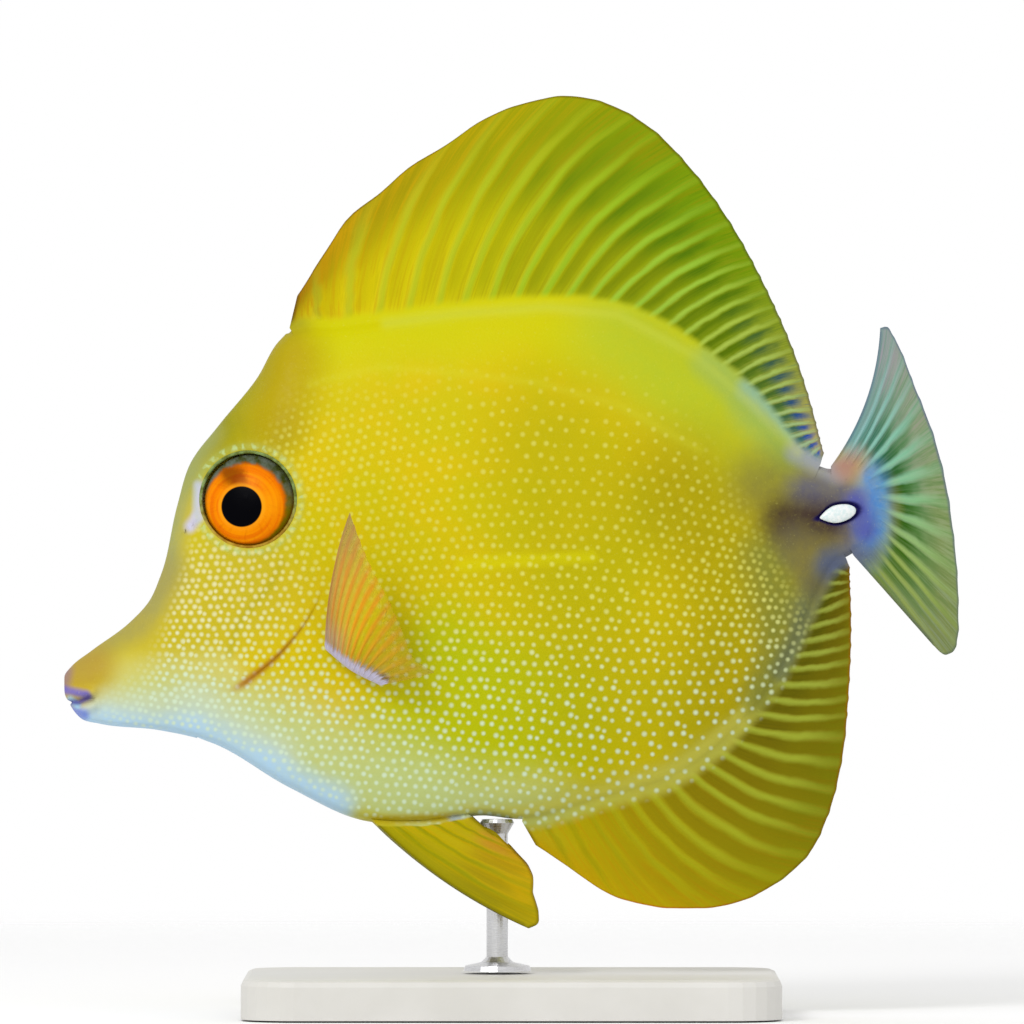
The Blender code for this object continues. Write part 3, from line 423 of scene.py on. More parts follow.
def half_width(x, z):
    """Half the width of the body at a point of its side view."""
    top, bottom = table(BACK, x), table(BELLY, x)
    level = np.clip((z - bottom) / np.maximum(top - bottom, 1e-6), 0.0, 1.0)
    blend = soft_step(level, 0.0, 1.0)
    keel = table(BELLY_KEEL, x) * (1.0 - blend) + table(BACK_KEEL, x) * blend
    fullness = table(BELLY_FULLNESS, x) * (1.0 - blend) + BACK_FULLNESS * blend
    section = (4.0 * level * (1.0 - level)) ** fullness
    depth = np.clip((x - front_edge(z)) / table(FACE_ROUNDING, z), 0.0, 1.0)
    face = np.sqrt(1.0 - (1.0 - depth) ** 2)
    return keel + (np.maximum(table(WIDTH, x), keel) - keel) * section * face


def side_frame(x, z, side, height):
    """Place something on the side of the head or body, square to its surface."""
    step = 2.5
    slope_x = (half_width(x + step, z) - half_width(x - step, z)) / (2.0 * step)
    slope_z = (half_width(x, z + step) - half_width(x, z - step)) / (2.0 * step)
    out = Vector((-slope_x, side, -slope_z)).normalized()
    place = Vector((x, side * half_width(x, z), z)) + out * height
    along_x = Vector((1.0, 0.0, 0.0))
    along_x = (along_x - out * along_x.dot(out)).normalized()
    third = out.cross(along_x)
    turned = Matrix((along_x, third, out)).transposed().to_4x4()
    turned.translation = place
    return turned


def picture_colour(red, green, blue):
    """The colour of a surface that looks like a picture's colour under this light."""
    out = []
    for value in (red, green, blue):
        share = value / 255.0
        linear = share / 12.92 if share <= 0.04045 else ((share + 0.055) / 1.055) ** 2.4
        out.append(min(max(linear - VEIL, 0.0) / BRIGHTNESS, 0.9))
    return tuple(out)


class Number:
    """A number in a node tree: a sum written with it adds nodes."""

    def __init__(self, tree, socket):
        self.tree = tree
        self.socket = socket

    def __add__(self, other):
        return self.tree.math("ADD", self, other)

    def __sub__(self, other):
        return self.tree.math("SUBTRACT", self, other)

    def __mul__(self, other):
        return self.tree.math("MULTIPLY", self, other)

    def __truediv__(self, other):
        return self.tree.math("DIVIDE", self, other)

    def most(self, other):
        """The greater of two numbers."""
        return self.tree.math("MAXIMUM", self, other)

    def clipped(self):
        """The same number, kept between 0 and 1."""
        self.socket.node.use_clamp = True
        return self

    def step(self, low, high, start=0.0, end=1.0):
        """A smooth change from start to end while the number goes from low to high."""
        node = self.tree.add("ShaderNodeMapRange", self, low, high, start, end,
                             interpolation_type="SMOOTHSTEP")
        return Number(self.tree, node.outputs[0])


class Tree:
    """Short calls that add nodes to one node tree."""

    def __init__(self, tree):
        self.tree = tree
        self.shader = tree.nodes.get("Principled BSDF")

    def add(self, kind, *values, **settings):
        """Add a node with the given settings, and values for its first sockets in order."""
        node = self.tree.nodes.new(kind)
        for name, value in settings.items():
            setattr(node, name, value)
        for value, socket in zip(values, node.inputs):
            if value is not None:
                self.put(value, socket)
        return node

    def put(self, value, socket):
        """Link an output to a socket, or set the socket to a number or a picture's colour."""
        if isinstance(value, Number):
            value = value.socket
        if isinstance(value, bpy.types.NodeSocket):
            self.tree.links.new(value, socket)
        elif isinstance(value, tuple):
            socket.default_value = (*picture_colour(*value), 1.0)
        else:
            socket.default_value = value

    def show(self, **values):
        """Give the shader its values, each by the name of its socket."""
        for name, value in values.items():
            self.put(value, self.shader.inputs[name.replace("_", " ")])

    def math(self, operation, *values):
        """One sum on numbers."""
        return Number(self, self.add("ShaderNodeMath", *values, operation=operation).outputs[0])

    def mix(self, share, below, above):
        """Lay one colour over another."""
        node = self.add("ShaderNodeMix", share, data_type="RGBA")
        self.put(below, node.inputs[6])
        self.put(above, node.inputs[7])
        return node.outputs[2]

    def layers(self, colour, *pairs):
        """Lay further colours over one, each with its own share."""
        for share, above in pairs:
            colour = self.mix(share, colour, above)
        return colour

    def field(self, name):
        """A number kept at the points of the mesh."""
        return Number(self, self.add("ShaderNodeAttribute", attribute_name=name).outputs["Fac"])

    def place(self):
        """The point in the object's own frame, in millimetres."""
        point = self.add("ShaderNodeTexCoord").outputs["Object"]
        node = self.add("ShaderNodeVectorMath", point, operation="SCALE")
        node.inputs["Scale"].default_value = 1.0 / MM
        return node.outputs[0]

    def split(self, vector):
        """The three numbers of a vector."""
        node = self.add("ShaderNodeSeparateXYZ", vector)
        return [Number(self, socket) for socket in node.outputs]

    def vector(self, x, y):
        """A flat vector of two numbers."""
        return self.add("ShaderNodeCombineXYZ", x, y).outputs[0]

    def noise(self, vector, scale, detail=2.0, roughness=0.5):
        """Soft noise from 0 to 1."""
        node = self.add("ShaderNodeTexNoise", vector, None, scale, detail, roughness)
        return Number(self, node.outputs["Fac"])

    def ramp(self, share, stops):
        """Picture colours along a scale from 0 to 1."""
        node = self.add("ShaderNodeValToRGB", share)
        elements = node.color_ramp.elements
        while len(elements) < len(stops):
            elements.new(0.5)
        for element, (position, *colour) in zip(elements, stops):
            element.position = position
            element.color = (*picture_colour(*colour), 1.0)
        return node.outputs["Color"]

    def curve(self, share, stops):
        """Numbers along a scale from 0 to 1."""
        node = self.add("ShaderNodeFloatCurve")
        curve = node.mapping.curves[0]
        while len(curve.points) < len(stops):
            curve.points.new(0.5, 0.5)
        for point, stop in zip(curve.points, stops):
            point.location = stop
            point.handle_type = "AUTO_CLAMPED"
        node.mapping.update()
        self.put(share, node.inputs["Value"])
        return Number(self, node.outputs[0])

    def relief(self, height, strength, distance):
        """A normal for small relief, with the distance in millimetres."""
        node = self.add("ShaderNodeBump")
        self.put(strength, node.inputs["Strength"])
        self.put(distance * MM, node.inputs["Distance"])
        self.put(height, node.inputs["Height"])
        return node.outputs["Normal"]


def new_material(name, roughness, gloss, metallic=0.0):
    """A Principled material and its tree."""
    material = bpy.data.materials.new(name)
    material.use_nodes = True
    tree = Tree(material.node_tree)
    tree.show(Roughness=roughness, Specular_IOR_Level=gloss, Metallic=metallic)
    return material, tree


def make_dots(tree):
    """How strongly a pale dot of the skin shows, from the field that spaces the dots."""
    place = tree.add("ShaderNodeAttribute", attribute_name="dot_place").outputs["Vector"]
    cells = tree.add("ShaderNodeTexVoronoi", place, None, 1.0, voronoi_dimensions="2D")
    cells.inputs["Randomness"].default_value = 0.42
    apart = tree.add("ShaderNodeVectorMath", place, cells.outputs["Position"], operation="SUBTRACT")
    along_row, rows_up, _ = tree.split(apart.outputs[0])
    across = along_row + rows_up * 0.5
    upward = rows_up * DOT_ROW
    distance = tree.math("SQRT", across * across + upward * upward)
    growth, fading, _ = tree.split(cells.outputs["Color"])
    size = tree.field("dot_size") * growth.step(0.0, 1.0, 0.88, 1.12)
    dot = (distance / size).step(0.25, 1.45, 1.0, 0.0)
    return dot * fading.step(0.0, 1.0, 0.75, 1.0) * tree.field("dot_strength")


def lay_eye_beads(tree, colour, place):
    """A ring of pale beads on the skin round each eye, on a slightly greener ground."""
    x, _, z = tree.split(place)
    turn = tree.math("ARCTAN2", z - EYE_CENTRE[1], x - EYE_CENTRE[0])
    uneven = tree.noise(place, 0.8)
    wave = tree.math("SINE", turn * EYE_BEADS + uneven.step(0.3, 0.7, -1.6, 1.6))
    ring = tree.field("eye_ring")
    beads = wave.step(-0.4, 0.9) * ring.step(0.3, 1.0) * uneven.step(0.3, 0.6, 0.3, 0.65)
    beads = beads * tree.field("eye_streak").step(0.0, 0.4, 1.0, 0.0)
    return tree.layers(colour, (ring * 0.3, (166, 190, 110)), (beads, (196, 222, 160)))


def make_skin_paint():
    """The colours of the skin as a node group, shared by the body and the roots of the fins."""
    group = bpy.data.node_groups.new("skin_paint", "ShaderNodeTree")
    group.interface.new_socket("Color", in_out="OUTPUT", socket_type="NodeSocketColor")
    tree = Tree(group)
    place = tree.place()
    colour = tree.mix(tree.noise(place, 0.12, 3.0).step(0.35, 0.65), (217, 192, 4), (208, 193, 4))
    uneven = tree.noise(place, 0.9, 3.0, 0.6).step(0.3, 0.7, 0.93, 1.07)
    for name, (shade, strength, _strokes) in SKIN_ZONES.items():
        share = tree.field(name) * strength * uneven
        colour = tree.mix(share.clipped(), colour, shade)
    for name, (shade, strength, _points, _half) in SKIN_LINES.items():
        share = tree.field(name) * strength
        colour = tree.mix(share.clipped(), colour, shade)
    colour = tree.mix(tree.field("spine_edge"), colour, (34, 30, 88))
    colour = lay_eye_beads(tree, colour, place)
    pale = tree.mix(tree.field("cheek_tan"), (228, 226, 112), (238, 234, 180))
    pale = tree.mix(tree.field("dot_white"), pale, (218, 238, 208))
    speck = tree.noise(place, 4.0, 2.0, 0.6).step(0.6, 0.8, 0.0, 0.14)
    colour = tree.layers(colour, (make_dots(tree), pale), (tree.field("gill_line"), (178, 112, 34)),
                         (speck, (232, 226, 120)))
    tree.add("NodeGroupOutput", colour)
    return group


def make_skin_material(paint):
    """Skin of the body: painted zones, pale dots, tiny scales and soft unevenness."""
    material, tree = new_material("skin", 0.42, 0.07)
    place = tree.place()
    scales = tree.add("ShaderNodeTexVoronoi", place, None, 3.2, voronoi_dimensions="3D")
    height = tree.noise(place, 5.0, 3.0, 0.6) + Number(tree, scales.outputs["Distance"]) * -0.6
    tree.show(Base_Color=tree.add("ShaderNodeGroup", node_tree=paint).outputs[0],
              Roughness=tree.noise(place, 1.4, 3.0).step(0.25, 0.75, 0.36, 0.52),
              Normal=tree.relief(height, 0.35, 0.05))
    return material


# Colours of a fin as stops (place, red, green, blue) from front to rear, and where its stripes
# show. Base and gap have two lists, near the root and near the rim. Wedge is where the dark
# wedges between the rays begin, are full, fade and end, as shares of the rays' length. A wedge
# lies on one side of each ray and is partly the darker membrane, partly painted shadow of the
# ray's ridge as if lit from above.
FinLook = namedtuple("FinLook", "base ray streak gap margin ray_strength gap_strength wedge crest "
                     "trough reach")


def make_fin_material(name, look, paint):
    """A fin: pale rays with a dark wedge behind each, partly painted shadow of the ray's ridge, fine
    streaks, and skin at the root.
    """
    material, tree = new_material(name, 0.5, 0.05)
    ray, row, span, root, edge = map(tree.field, ("ray", "row", "span", "root_mm", "edge_mm"))
    fine = tree.noise(tree.vector(ray * 8.0, row * 2.0), 1.0, 3.0, 0.6)
    broad = tree.noise(tree.vector(ray, row * 3.5), 1.0)
    phase = tree.math("FRACT", ray + broad.step(0.3, 0.7, -0.05, 0.05))
    rise, fall = look.crest
    crest = phase.step(0.02, fall, 1.0, 0.0).most(phase.step(1.0 - rise, 0.98))
    # Painted shadow: a dark band on one side of each ray, as if its raised ridge were lit from above.
    trough = phase.step(0.1, 0.3) * phase.step(look.trough, 0.97, 1.0, 0.0)
    begin, full, fade, end = look.wedge
    ragged_row = row + broad.step(0.3, 0.7, -0.06, 0.06)
    window = row.step(begin, full) * ragged_row.step(fade, end, 1.0, 0.0)

    def paired(pair, share):
        """Colours along the fin, from those near the root to those near the rim."""
        return tree.mix(share, tree.ramp(span, pair[0]), tree.ramp(span, pair[1]))

    streak = tree.ramp(span, look.streak)
    # The dark wedges: the darker membrane between the rays, with the painted ray shadow laid over it.
    gap = trough * window * tree.curve(span, look.gap_strength) * fine.step(0.3, 0.7, 1.1, 0.8)
    gap = gap.most(fine.step(0.34, 0.5, 0.4, 0.0)).clipped()
    shine = crest * row.step(0.5, 1.0, 1.0, 0.3) * tree.curve(span, look.ray_strength)
    rim = edge.step(0.05, 0.45, 0.8, 0.0) * fine.step(0.3, 0.7, 0.7, 1.0)
    skin = (root + broad.step(0.3, 0.7, -0.12, 0.12)).step(-0.1, look.reach, 1.0, 0.0)
    colour = tree.layers(
        paired(look.base, row.step(0.15, 0.85)),
        (broad.step(0.5, 0.75, 0.0, 0.3), streak),
        (fine.step(0.46, 0.62, 0.0, 0.55), streak),
        (gap, paired(look.gap, row.step(0.3, 0.6))),
        (shine, tree.ramp(span, look.ray)),
        (rim, tree.ramp(span, look.margin)),
        (skin, tree.add("ShaderNodeGroup", node_tree=paint).outputs[0]))
    tree.show(Base_Color=colour, Roughness=fine.step(0.2, 0.8, 0.4, 0.55),
              Normal=tree.relief(fine * root.step(0.0, 1.5), 0.3, 0.08))
    return material


def add_object(name, data):
    """A new object in the scene."""
    obj = bpy.data.objects.new(name, data)
    bpy.context.scene.collection.objects.link(obj)
    return obj


def make_piece(name, points, faces, material, nodes, fields=None, sharp=None):
    """A smooth mesh piece that rides on the body and stands for its solids."""
    points = np.asarray(points, dtype=float)
    mesh = bpy.data.meshes.new(name)
    mesh.from_pydata((points * MM).tolist(), [], [list(face) for face in faces])
    for field, values in (fields or {}).items():
        values = np.asarray(values, dtype=np.float32)
        kind, key = ("FLOAT_VECTOR", "vector") if values.ndim > 1 else ("FLOAT", "value")
        mesh.attributes.new(field, kind, "POINT").data.foreach_set(key, values.ravel())
    mesh.materials.append(material)
    mesh.shade_smooth()
    if sharp:
        mesh.set_sharp_from_angle(angle=math.radians(sharp))
    if volume_of(points, faces) < 0.0:
        mesh.flip_normals()
    obj = add_object(name, mesh)
    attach(obj, "root")
    if nodes:
        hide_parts(*nodes)


def volume_of(points, faces):
    """Signed volume of a closed mesh: negative where its faces look inward."""
    total = 0.0
    by_size = {}
    for face in faces:
        by_size.setdefault(len(face), []).append(face)
    for size, group in by_size.items():
        corners = points[np.array(group)]
        for k in range(1, size - 1):
            cross = np.cross(corners[:, k], corners[:, k + 1])
            total += float(np.sum(corners[:, 0] * cross)) / 6.0
    return total


def stroke_cover(x, z, strokes):
    """How strongly soft strokes cover points of the side view."""
    bare = np.ones(np.shape(x))
    for x1, z1, x2, z2, radius in strokes:
        distance = distance_to_piece(x, z, x1, z1, x2, z2)
        bare = bare * (1.0 - soft_step(1.0 - distance / radius, 0.0, 0.9))
    return 1.0 - bare


def leaf_share(forward):
    """How high a tail spine is along its length, from -1 to 1, as a share of its height."""
    return 1.0 - SPINE_TAPER * np.clip(-forward, 0.0, 1.0) ** 2


def leaf_distance(x, z):
    """How far points lie outside a tail spine, as a share of its size."""
    cos, sin = math.cos(SPINE_TILT), math.sin(SPINE_TILT)
    dx, dz = x - SPINE_CENTRE[0], z - SPINE_CENTRE[1]
    forward = (dx * cos + dz * sin) / (SPINE_LENGTH / 2.0)
    upward = (-dx * sin + dz * cos) / (SPINE_HEIGHT / 2.0)
    return np.hypot(forward, upward / leaf_share(forward))


def dot_field(x, z):
    """Places on an even plane that space the dots, and the distance between dots there."""
    point = ((x - DOT_ORIGIN[0]) + 1j * (z - DOT_ORIGIN[1])) / DOT_SCALE
    powers = DOT_SPACING[::-1]
    total = 0.0
    for node, weight in zip(*np.polynomial.legendre.leggauss(DOT_STEPS)):
        total = total + weight / 2.0 * np.exp(-np.polyval(powers, point * (node + 1.0) / 2.0))
    place = total * point * DOT_SCALE
    upward = place.imag / DOT_ROW
    places = np.stack([place.real - 0.5 * upward, upward, np.zeros(np.shape(x))], axis=-1)
    return places, np.exp(np.polyval(powers, point).real)


def paint_fields(x, z):
    """The numbers and places that the skin's colours are made from."""
    fields = {}
    for name, (_colour, _strength, strokes) in SKIN_ZONES.items():
        fields[name] = stroke_cover(x, z, strokes)
    for name, (_colour, _strength, points, half) in SKIN_LINES.items():
        fields[name] = bump(distance_to(points, x, z), half)
    shown = soft_step(z, 35.8, 37.2) * (1.0 - soft_step(z, 38.0, 49.0))
    width = 0.1 + 0.2 * (1.0 - soft_step(z, 37.0, 44.0))
    fields["gill_line"] = 0.85 * shown * bump(distance_to(GILL, x, z) - 0.05, width)
    fields["spine_edge"] = 0.95 * (1.0 - soft_step(leaf_distance(x, z), 1.15, 1.5))
    fields["eye_ring"] = bump(from_eye(x, z) - EYE_RING_RADIUS, 0.3)
    fields["dot_place"], spacing = dot_field(x, z)
    fields["dot_size"] = DOT_RADIUS / spacing
    fields["dot_strength"] = dot_strength(x, z)
    low = fields["belly_pale"] + fields["throat_white"] + soft_step(-z, -50.0, -30.0)
    fields["dot_white"] = np.clip(low, 0.0, 1.0)
    return fields


def dot_strength(x, z):
    """Dots show on the cheeks, flanks and belly, and fade near the back and the tail."""
    below_back = soft_step(table(BACK, x) - z, 4.0, 14.0)
    tail = 1.0 - soft_step(x + 0.55 * np.clip(z - 52.0, -9.0, 30.0), 24.0, 31.0)
    face = soft_step(x - front_edge(z), 1.2, 3.4)
    brow = 1.0 - stroke_cover(x, z, BARE_BROW)
    lower = 0.55 + 0.35 * soft_step(-z, -60.0, -42.0)
    fin_base = 1.0 - stroke_cover(x, z, SKIN_ZONES["pelvic_base"][2])
    orbit = soft_step(from_eye(x, z), 5.3, 5.8)
    return below_back * tail * face * brow * lower * fin_base * orbit


def refine(stations, steps):
    """Set more stations evenly between those of a table."""
    stations = np.asarray(stations, dtype=float)
    index = np.linspace(0, len(stations) - 1, (len(stations) - 1) * steps + 1)
    columns = [np.interp(index, np.arange(len(stations)), stations[:, k]) for k in (0, 1)]
    return index, np.stack(columns, axis=-1)


def station_lines(stations, bends, marks):
    """Lines from back to belly, bent by their share of the gill cover's curve."""
    curve = along(GILL, marks) - (GILL[0] + (GILL[-1] - GILL[0]) * marks[:, None])
    top = np.stack([stations[:, 0], table(BACK, stations[:, 0])], axis=-1)
    bottom = np.stack([stations[:, 1], table(BELLY, stations[:, 1])], axis=-1)
    chord = (bottom - top)[:, None, :] * marks[None, :, None]
    return top[:, None, :] + chord + np.asarray(bends)[:, None, None] * curve[None]


def skin_lines():
    """All lines of the skin from the snout to the tail, with the rise of the gill's step."""
    turns = np.linspace(0.0, math.pi, RING_MARKS)
    marks = 0.65 * (1.0 - np.cos(turns)) / 2.0 + 0.35 * np.linspace(0.0, 1.0, RING_MARKS)
    index, stations = refine(HEAD_STATIONS, HEAD_STEPS)
    head = station_lines(stations, (index / index[-1]) ** HEAD_BEND, marks)[:-3]
    step = np.stack([along(offset_curve(GILL, shift), marks) for shift, _rise in GILL_STEP])
    index, stations = refine(TORSO_STATIONS, TORSO_STEPS)
    bends = np.maximum(0.0, 1.0 - index / TORSO_BEND_STATIONS) ** TORSO_BEND
    torso = station_lines(stations, bends, marks)[3:]
    index, stations = refine(TAIL_STATIONS, TAIL_STEPS)
    tail = station_lines(stations, np.zeros(len(index)), marks)[1:]
    lines = np.concatenate([head, step, torso, tail])
    x, z = lines[..., 0], lines[..., 1]
    gill = distance_to(GILL, x, z)
    rise = np.empty(x.shape)
    rise[:len(head)] = GILL_STEP[0][1] * np.exp(-(gill[:len(head)] / FLAP_REACH) ** 2)
    behind = len(head) + len(step)
    rise[len(head):behind] = np.array([r for _shift, r in GILL_STEP])[:, None]
    rise[behind:] = GILL_STEP[-1][1] * np.exp(-(gill[behind:] / RECESS_REACH) ** 2)
    shown = soft_step(z, *FLAP_LOW) * (1.0 - soft_step(z, *FLAP_HIGH))
    return lines, rise * shown


def pull_to_socket(x, z):
    """Draw points near the eye socket's edge onto it, for a round edge."""
    radius = np.maximum(from_eye(x, z), 1e-6)
    off = radius - SOCKET_RADIUS
    near = np.clip(np.abs(off) / SOCKET_PULL, 0.0, 1.0)
    scale = (SOCKET_RADIUS + off * near ** 1.2) / radius
    return (EYE_CENTRE[0] + (x - EYE_CENTRE[0]) * scale,
            EYE_CENTRE[1] + (z - EYE_CENTRE[1]) * scale)


def skin_surface(x, z, rise=0.0):
    """Half the width of the skin, with lips, nostrils, creases, eye sockets and round edges."""
    inside = np.clip((x - front_edge(z)) / (2.0 * LIP_SPREAD), 0.0, 1.0)
    lips = [bump(distance_to(smooth_curve(lip), x, z), LIP_SPREAD) for lip in (UPPER_LIP, LOWER_LIP)]
    y = half_width(x, z) + rise + LIP_RISE * np.maximum(*lips) * inside
    y = y * (1.0 - MOUTH_DEPTH * bump(distance_to(MOUTH, x, z), MOUTH_WIDTH))
    for nostril_x, nostril_z, radius in NOSTRILS:
        away = np.hypot(x - nostril_x, z - nostril_z)
        y = y - NOSTRIL_DEPTH * bump(away, 0.7 * radius)
        y = y + NOSTRIL_RIM * bump(away - 1.6 * radius, 0.2)
    y = y - CREASE_DEPTH * bump(distance_to(PREOPERCLE, x, z), 0.3)
    y = y - SPINE_BED * (1.0 - soft_step(leaf_distance(x, z), 1.0, 1.35))
    around = from_eye(x, z)
    y = y + ORBIT_RISE * bump(around - ORBIT_RADIUS, 0.45)
    y = y - SOCKET_DEPTH * (1.0 - soft_step(around, SOCKET_RADIUS - 0.12, SOCKET_RADIUS + 0.01))
    sway = np.sin(0.31 * x + 0.17 * z) * np.sin(0.23 * z - 0.11 * x + 1.3)
    y = y + SWAY * sway * np.clip(y - 1.5, 0.0, 1.0)
    top, bottom = table(BACK, x), table(BELLY, x)
    keel = np.clip(table(BELLY_KEEL, x), 0.45, 0.9)
    ends = np.minimum(top - z, z - bottom) / np.minimum(keel, np.maximum(top - bottom, 1e-3) / 2.0)
    return np.maximum(y, 0.0) * np.sqrt(1.0 - (1.0 - np.clip(ends, 0.0, 1.0)) ** 2)


def build_skin(material):
    """One skin over head, body and tail root, without a seam."""
    lines, rise = skin_lines()
    x, z = lines[..., 0].copy(), lines[..., 1].copy()
    x[:, 1:-1], z[:, 1:-1] = pull_to_socket(x[:, 1:-1], z[:, 1:-1])
    y = skin_surface(x, z, rise)
    y[:, [0, -1]] = 0.0
    notch = MOUTH_NOTCH * bump(distance_to(MOUTH, x, z), 0.13)
    x = x + notch * (1.0 - soft_step(x - front_edge(z), 0.0, 0.7))
    left = np.stack([x, -y, z], axis=-1)
    right = np.stack([x, y, z], axis=-1)[:, -2:0:-1]
    rings = np.hstack([left, right])
    stations, ring = rings.shape[:2]
    points = rings.reshape(-1, 3)
    faces = tube_faces(stations, ring)
    faces.append(list(range(ring)))
    faces.append(list(range((stations - 1) * ring, stations * ring))[::-1])
    make_piece("skin", points, faces, material, ("head", "torso", "caudal_peduncle"),
               paint_fields(points[:, 0], points[:, 2]))


def circle(steps):
    """Cosines and sines of even steps once round."""
    turns = np.linspace(0.0, 2.0 * math.pi, steps, endpoint=False)
    return np.cos(turns), np.sin(turns)


def tube_faces(rings, ring, closed=False):
    """Faces of a tube of rings of points, closed to a loop or open at its ends."""
    faces = []
    for i in range(rings if closed else rings - 1):
        here = i * ring
        there = (here + ring) % (rings * ring)
        for k in range(ring):
            after = (k + 1) % ring
            faces.append([here + k, there + k, there + after, here + after])
    return faces


def capped_tube(placed, rings, ends):
    """Points and faces of a tube of rings that closes on a point at each end."""
    turned = np.array(placed)
    points = np.vstack([rings.reshape(-1, 3), ends]) @ turned[:3, :3].T + turned[:3, 3]
    levels, ring = rings.shape[:2]
    faces = tube_faces(levels, ring)
    start, first, last = (levels - 1) * ring, len(points) - 2, len(points) - 1
    for k in range(ring):
        after = (k + 1) % ring
        faces.append([k, after, first])
        faces.append([start + after, start + k, last])
    return points, faces


def make_eye_material():
    """Black pupil, orange iris with a darker patch, and a dark arc over its top, partly painted shade
    of the socket.
    """
    material, tree = new_material("eye", 0.3, 0.02)
    across, upward = tree.field("eye_x"), tree.field("eye_z")

    def around(x, z):
        """Distance from a place in the eye."""
        dx, dz = across - x, upward - z
        return tree.math("SQRT", dx * dx + dz * dz)

    from_iris, from_pupil = around(-0.30, -0.50), around(-0.71, -0.80)
    cloud = tree.noise(tree.vector(across, upward), 0.7, 4.0, 0.6)
    turn = tree.math("ARCTAN2", upward, across)
    fibres = tree.noise(tree.vector(turn * 9.0, from_pupil * 0.5), 1.0, 3.0, 0.6)
    rings = tree.noise(tree.vector(from_pupil * 2.2, turn * 0.4), 1.0, 3.0)
    # Painted shade of the socket's upper edge over the iris's dark outer edge: a dark arc across the
    # top, olive-yellow lower down; the outermost ring is likewise darker above than below.
    socket_shade_arc = tree.mix(cloud.step(0.35, 0.65), (64, 70, 30), (104, 112, 100))
    socket_shade_arc = tree.mix(upward.step(-1.5, 2.5), (118, 104, 24), socket_shade_arc)
    ragged = from_iris + cloud.step(0.3, 0.7, -0.15, 0.15)
    edge = tree.mix(upward.step(-2.0, 2.0), (156, 96, 20), (76, 78, 34))
    colour = tree.layers(
        tree.mix(rings.step(0.35, 0.65), (238, 120, 6), (250, 148, 14)),
        (fibres.step(0.5, 0.75, 0.0, 0.25), (196, 84, 8)),
        (around(1.6, -0.6).step(0.6, 2.6, 0.6, 0.0), (255, 168, 30)),
        ((around(-1.9, 2.9) + cloud * 1.6).step(1.2, 3.0, 0.85, 0.0), (126, 66, 22)),
        ((around(-0.9, 2.1) + cloud * 1.2).step(1.0, 2.0, 0.6, 0.0), (150, 62, 16)),
        (from_pupil.step(2.35, 2.9, 0.55, 0.0), (255, 170, 40)),
        (from_iris.step(4.1, 4.75, 0.0, 0.8), (150, 78, 14)),
        (ragged.step(4.35, 4.85), socket_shade_arc),
        (around(0.0, 0.0).step(4.9, 5.15), edge),
        (from_pupil.step(2.2, 2.34, 1.0, 0.0), (26.7, 26.7, 28.3)))
    tree.show(Base_Color=colour, Normal=tree.relief(rings + fibres, 0.12, 0.05))
    return material


def build_eyes(material, rim_material):
    """Both eyes, each a turned lens, and the rim of each socket."""
    profile = np.vstack([smooth_curve(EYE_PROFILE, 6), EYE_BACK])
    radius, height = profile[1:-1, :1], profile[1:-1, 1:]
    cos, sin = circle(96)
    rings = np.stack([radius * cos, radius * sin, height + 0.0 * cos], axis=-1)
    ends = [(0.0, 0.0, profile[0, 1]), (0.0, 0.0, profile[-1, 1])]
    for word, side in SIDES:
        points, faces = capped_tube(side_frame(*EYE_CENTRE, side, 0.0), rings, ends)
        numbers = {"eye_x": points[:, 0] - EYE_CENTRE[0], "eye_z": points[:, 2] - EYE_CENTRE[1]}
        make_piece("eyeball_" + word, points, faces, material, ("eye_" + word,), numbers)
        build_eye_rim(word, side, rim_material)


def build_eye_rim(word, side, material):
    """A thin soft rim that follows the skin round the socket."""
    steps, around = 120, 12
    out_x, out_z = (values[:, None] for values in circle(steps))
    x = EYE_CENTRE[0] + EYE_RIM_RADIUS * out_x
    z = EYE_CENTRE[1] + EYE_RIM_RADIUS * out_z
    reach, lift = (EYE_RIM_TUBE * values for values in circle(around))
    y = side * (half_width(x, z) - 0.02) + lift
    points = np.stack([x + out_x * reach, y, z + out_z * reach], axis=-1).reshape(-1, 3)
    make_piece("eye_rim_" + word, points, tube_faces(steps, around, closed=True), material,
               ())


def make_rim_material():
    """The eye's rim: olive above and brown below, with paler beads."""
    material, tree = new_material("eye_rim", 0.45, 0.08)
    place = tree.place()
    beads = tree.noise(place, 1.1)
    low = tree.split(place)[2].step(EYE_CENTRE[1] - 5.0, EYE_CENTRE[1] + 1.0, 1.0, 0.0)
    dark = tree.mix(low, (104, 112, 50), (156, 112, 34))
    pale = tree.mix(low, (136, 158, 96), (192, 158, 56))
    tree.show(Base_Color=tree.mix(beads.step(0.35, 0.65), dark, pale),
              Normal=tree.relief(beads, 0.3, 0.05))
    return material


def fin_columns(rays):
    """Columns of a fin, as numbers of rays from the front."""
    columns = [ray + np.array(COLUMN_OFFSETS) for ray in range(rays - 1)]
    return np.append(np.concatenate(columns), rays - 1.0)


def fin_rows(count):
    """Rows of a fin, as shares from root to rim, closer together at both."""
    share = np.linspace(0.0, 1.0, count)
    return 0.5 * share + 0.5 * soft_step(share, 0.0, 1.0)


def fan(root, rim, root_marks, rim_marks, bow, rows):
    """A fin's middle surface in side view, at the same rows of every ray."""
    base = along(root, root_marks)[:, None, :]
    tip = along(rim, rim_marks)[:, None, :]
    side = np.stack([base[..., 1] - tip[..., 1], tip[..., 0] - base[..., 0]], axis=-1)
    pull = (base + tip) / 2.0 + 2.0 * side * table(bow, root_marks)[:, None, None]
    share = np.asarray(rows)[..., None]
    return (1.0 - share) ** 2 * base + 2.0 * share * (1.0 - share) * pull + share ** 2 * tip


def ray_lengths(grid):
    """Length of each ray, straight from root to rim."""
    return np.linalg.norm(grid[:, -1] - grid[:, 0], axis=-1)


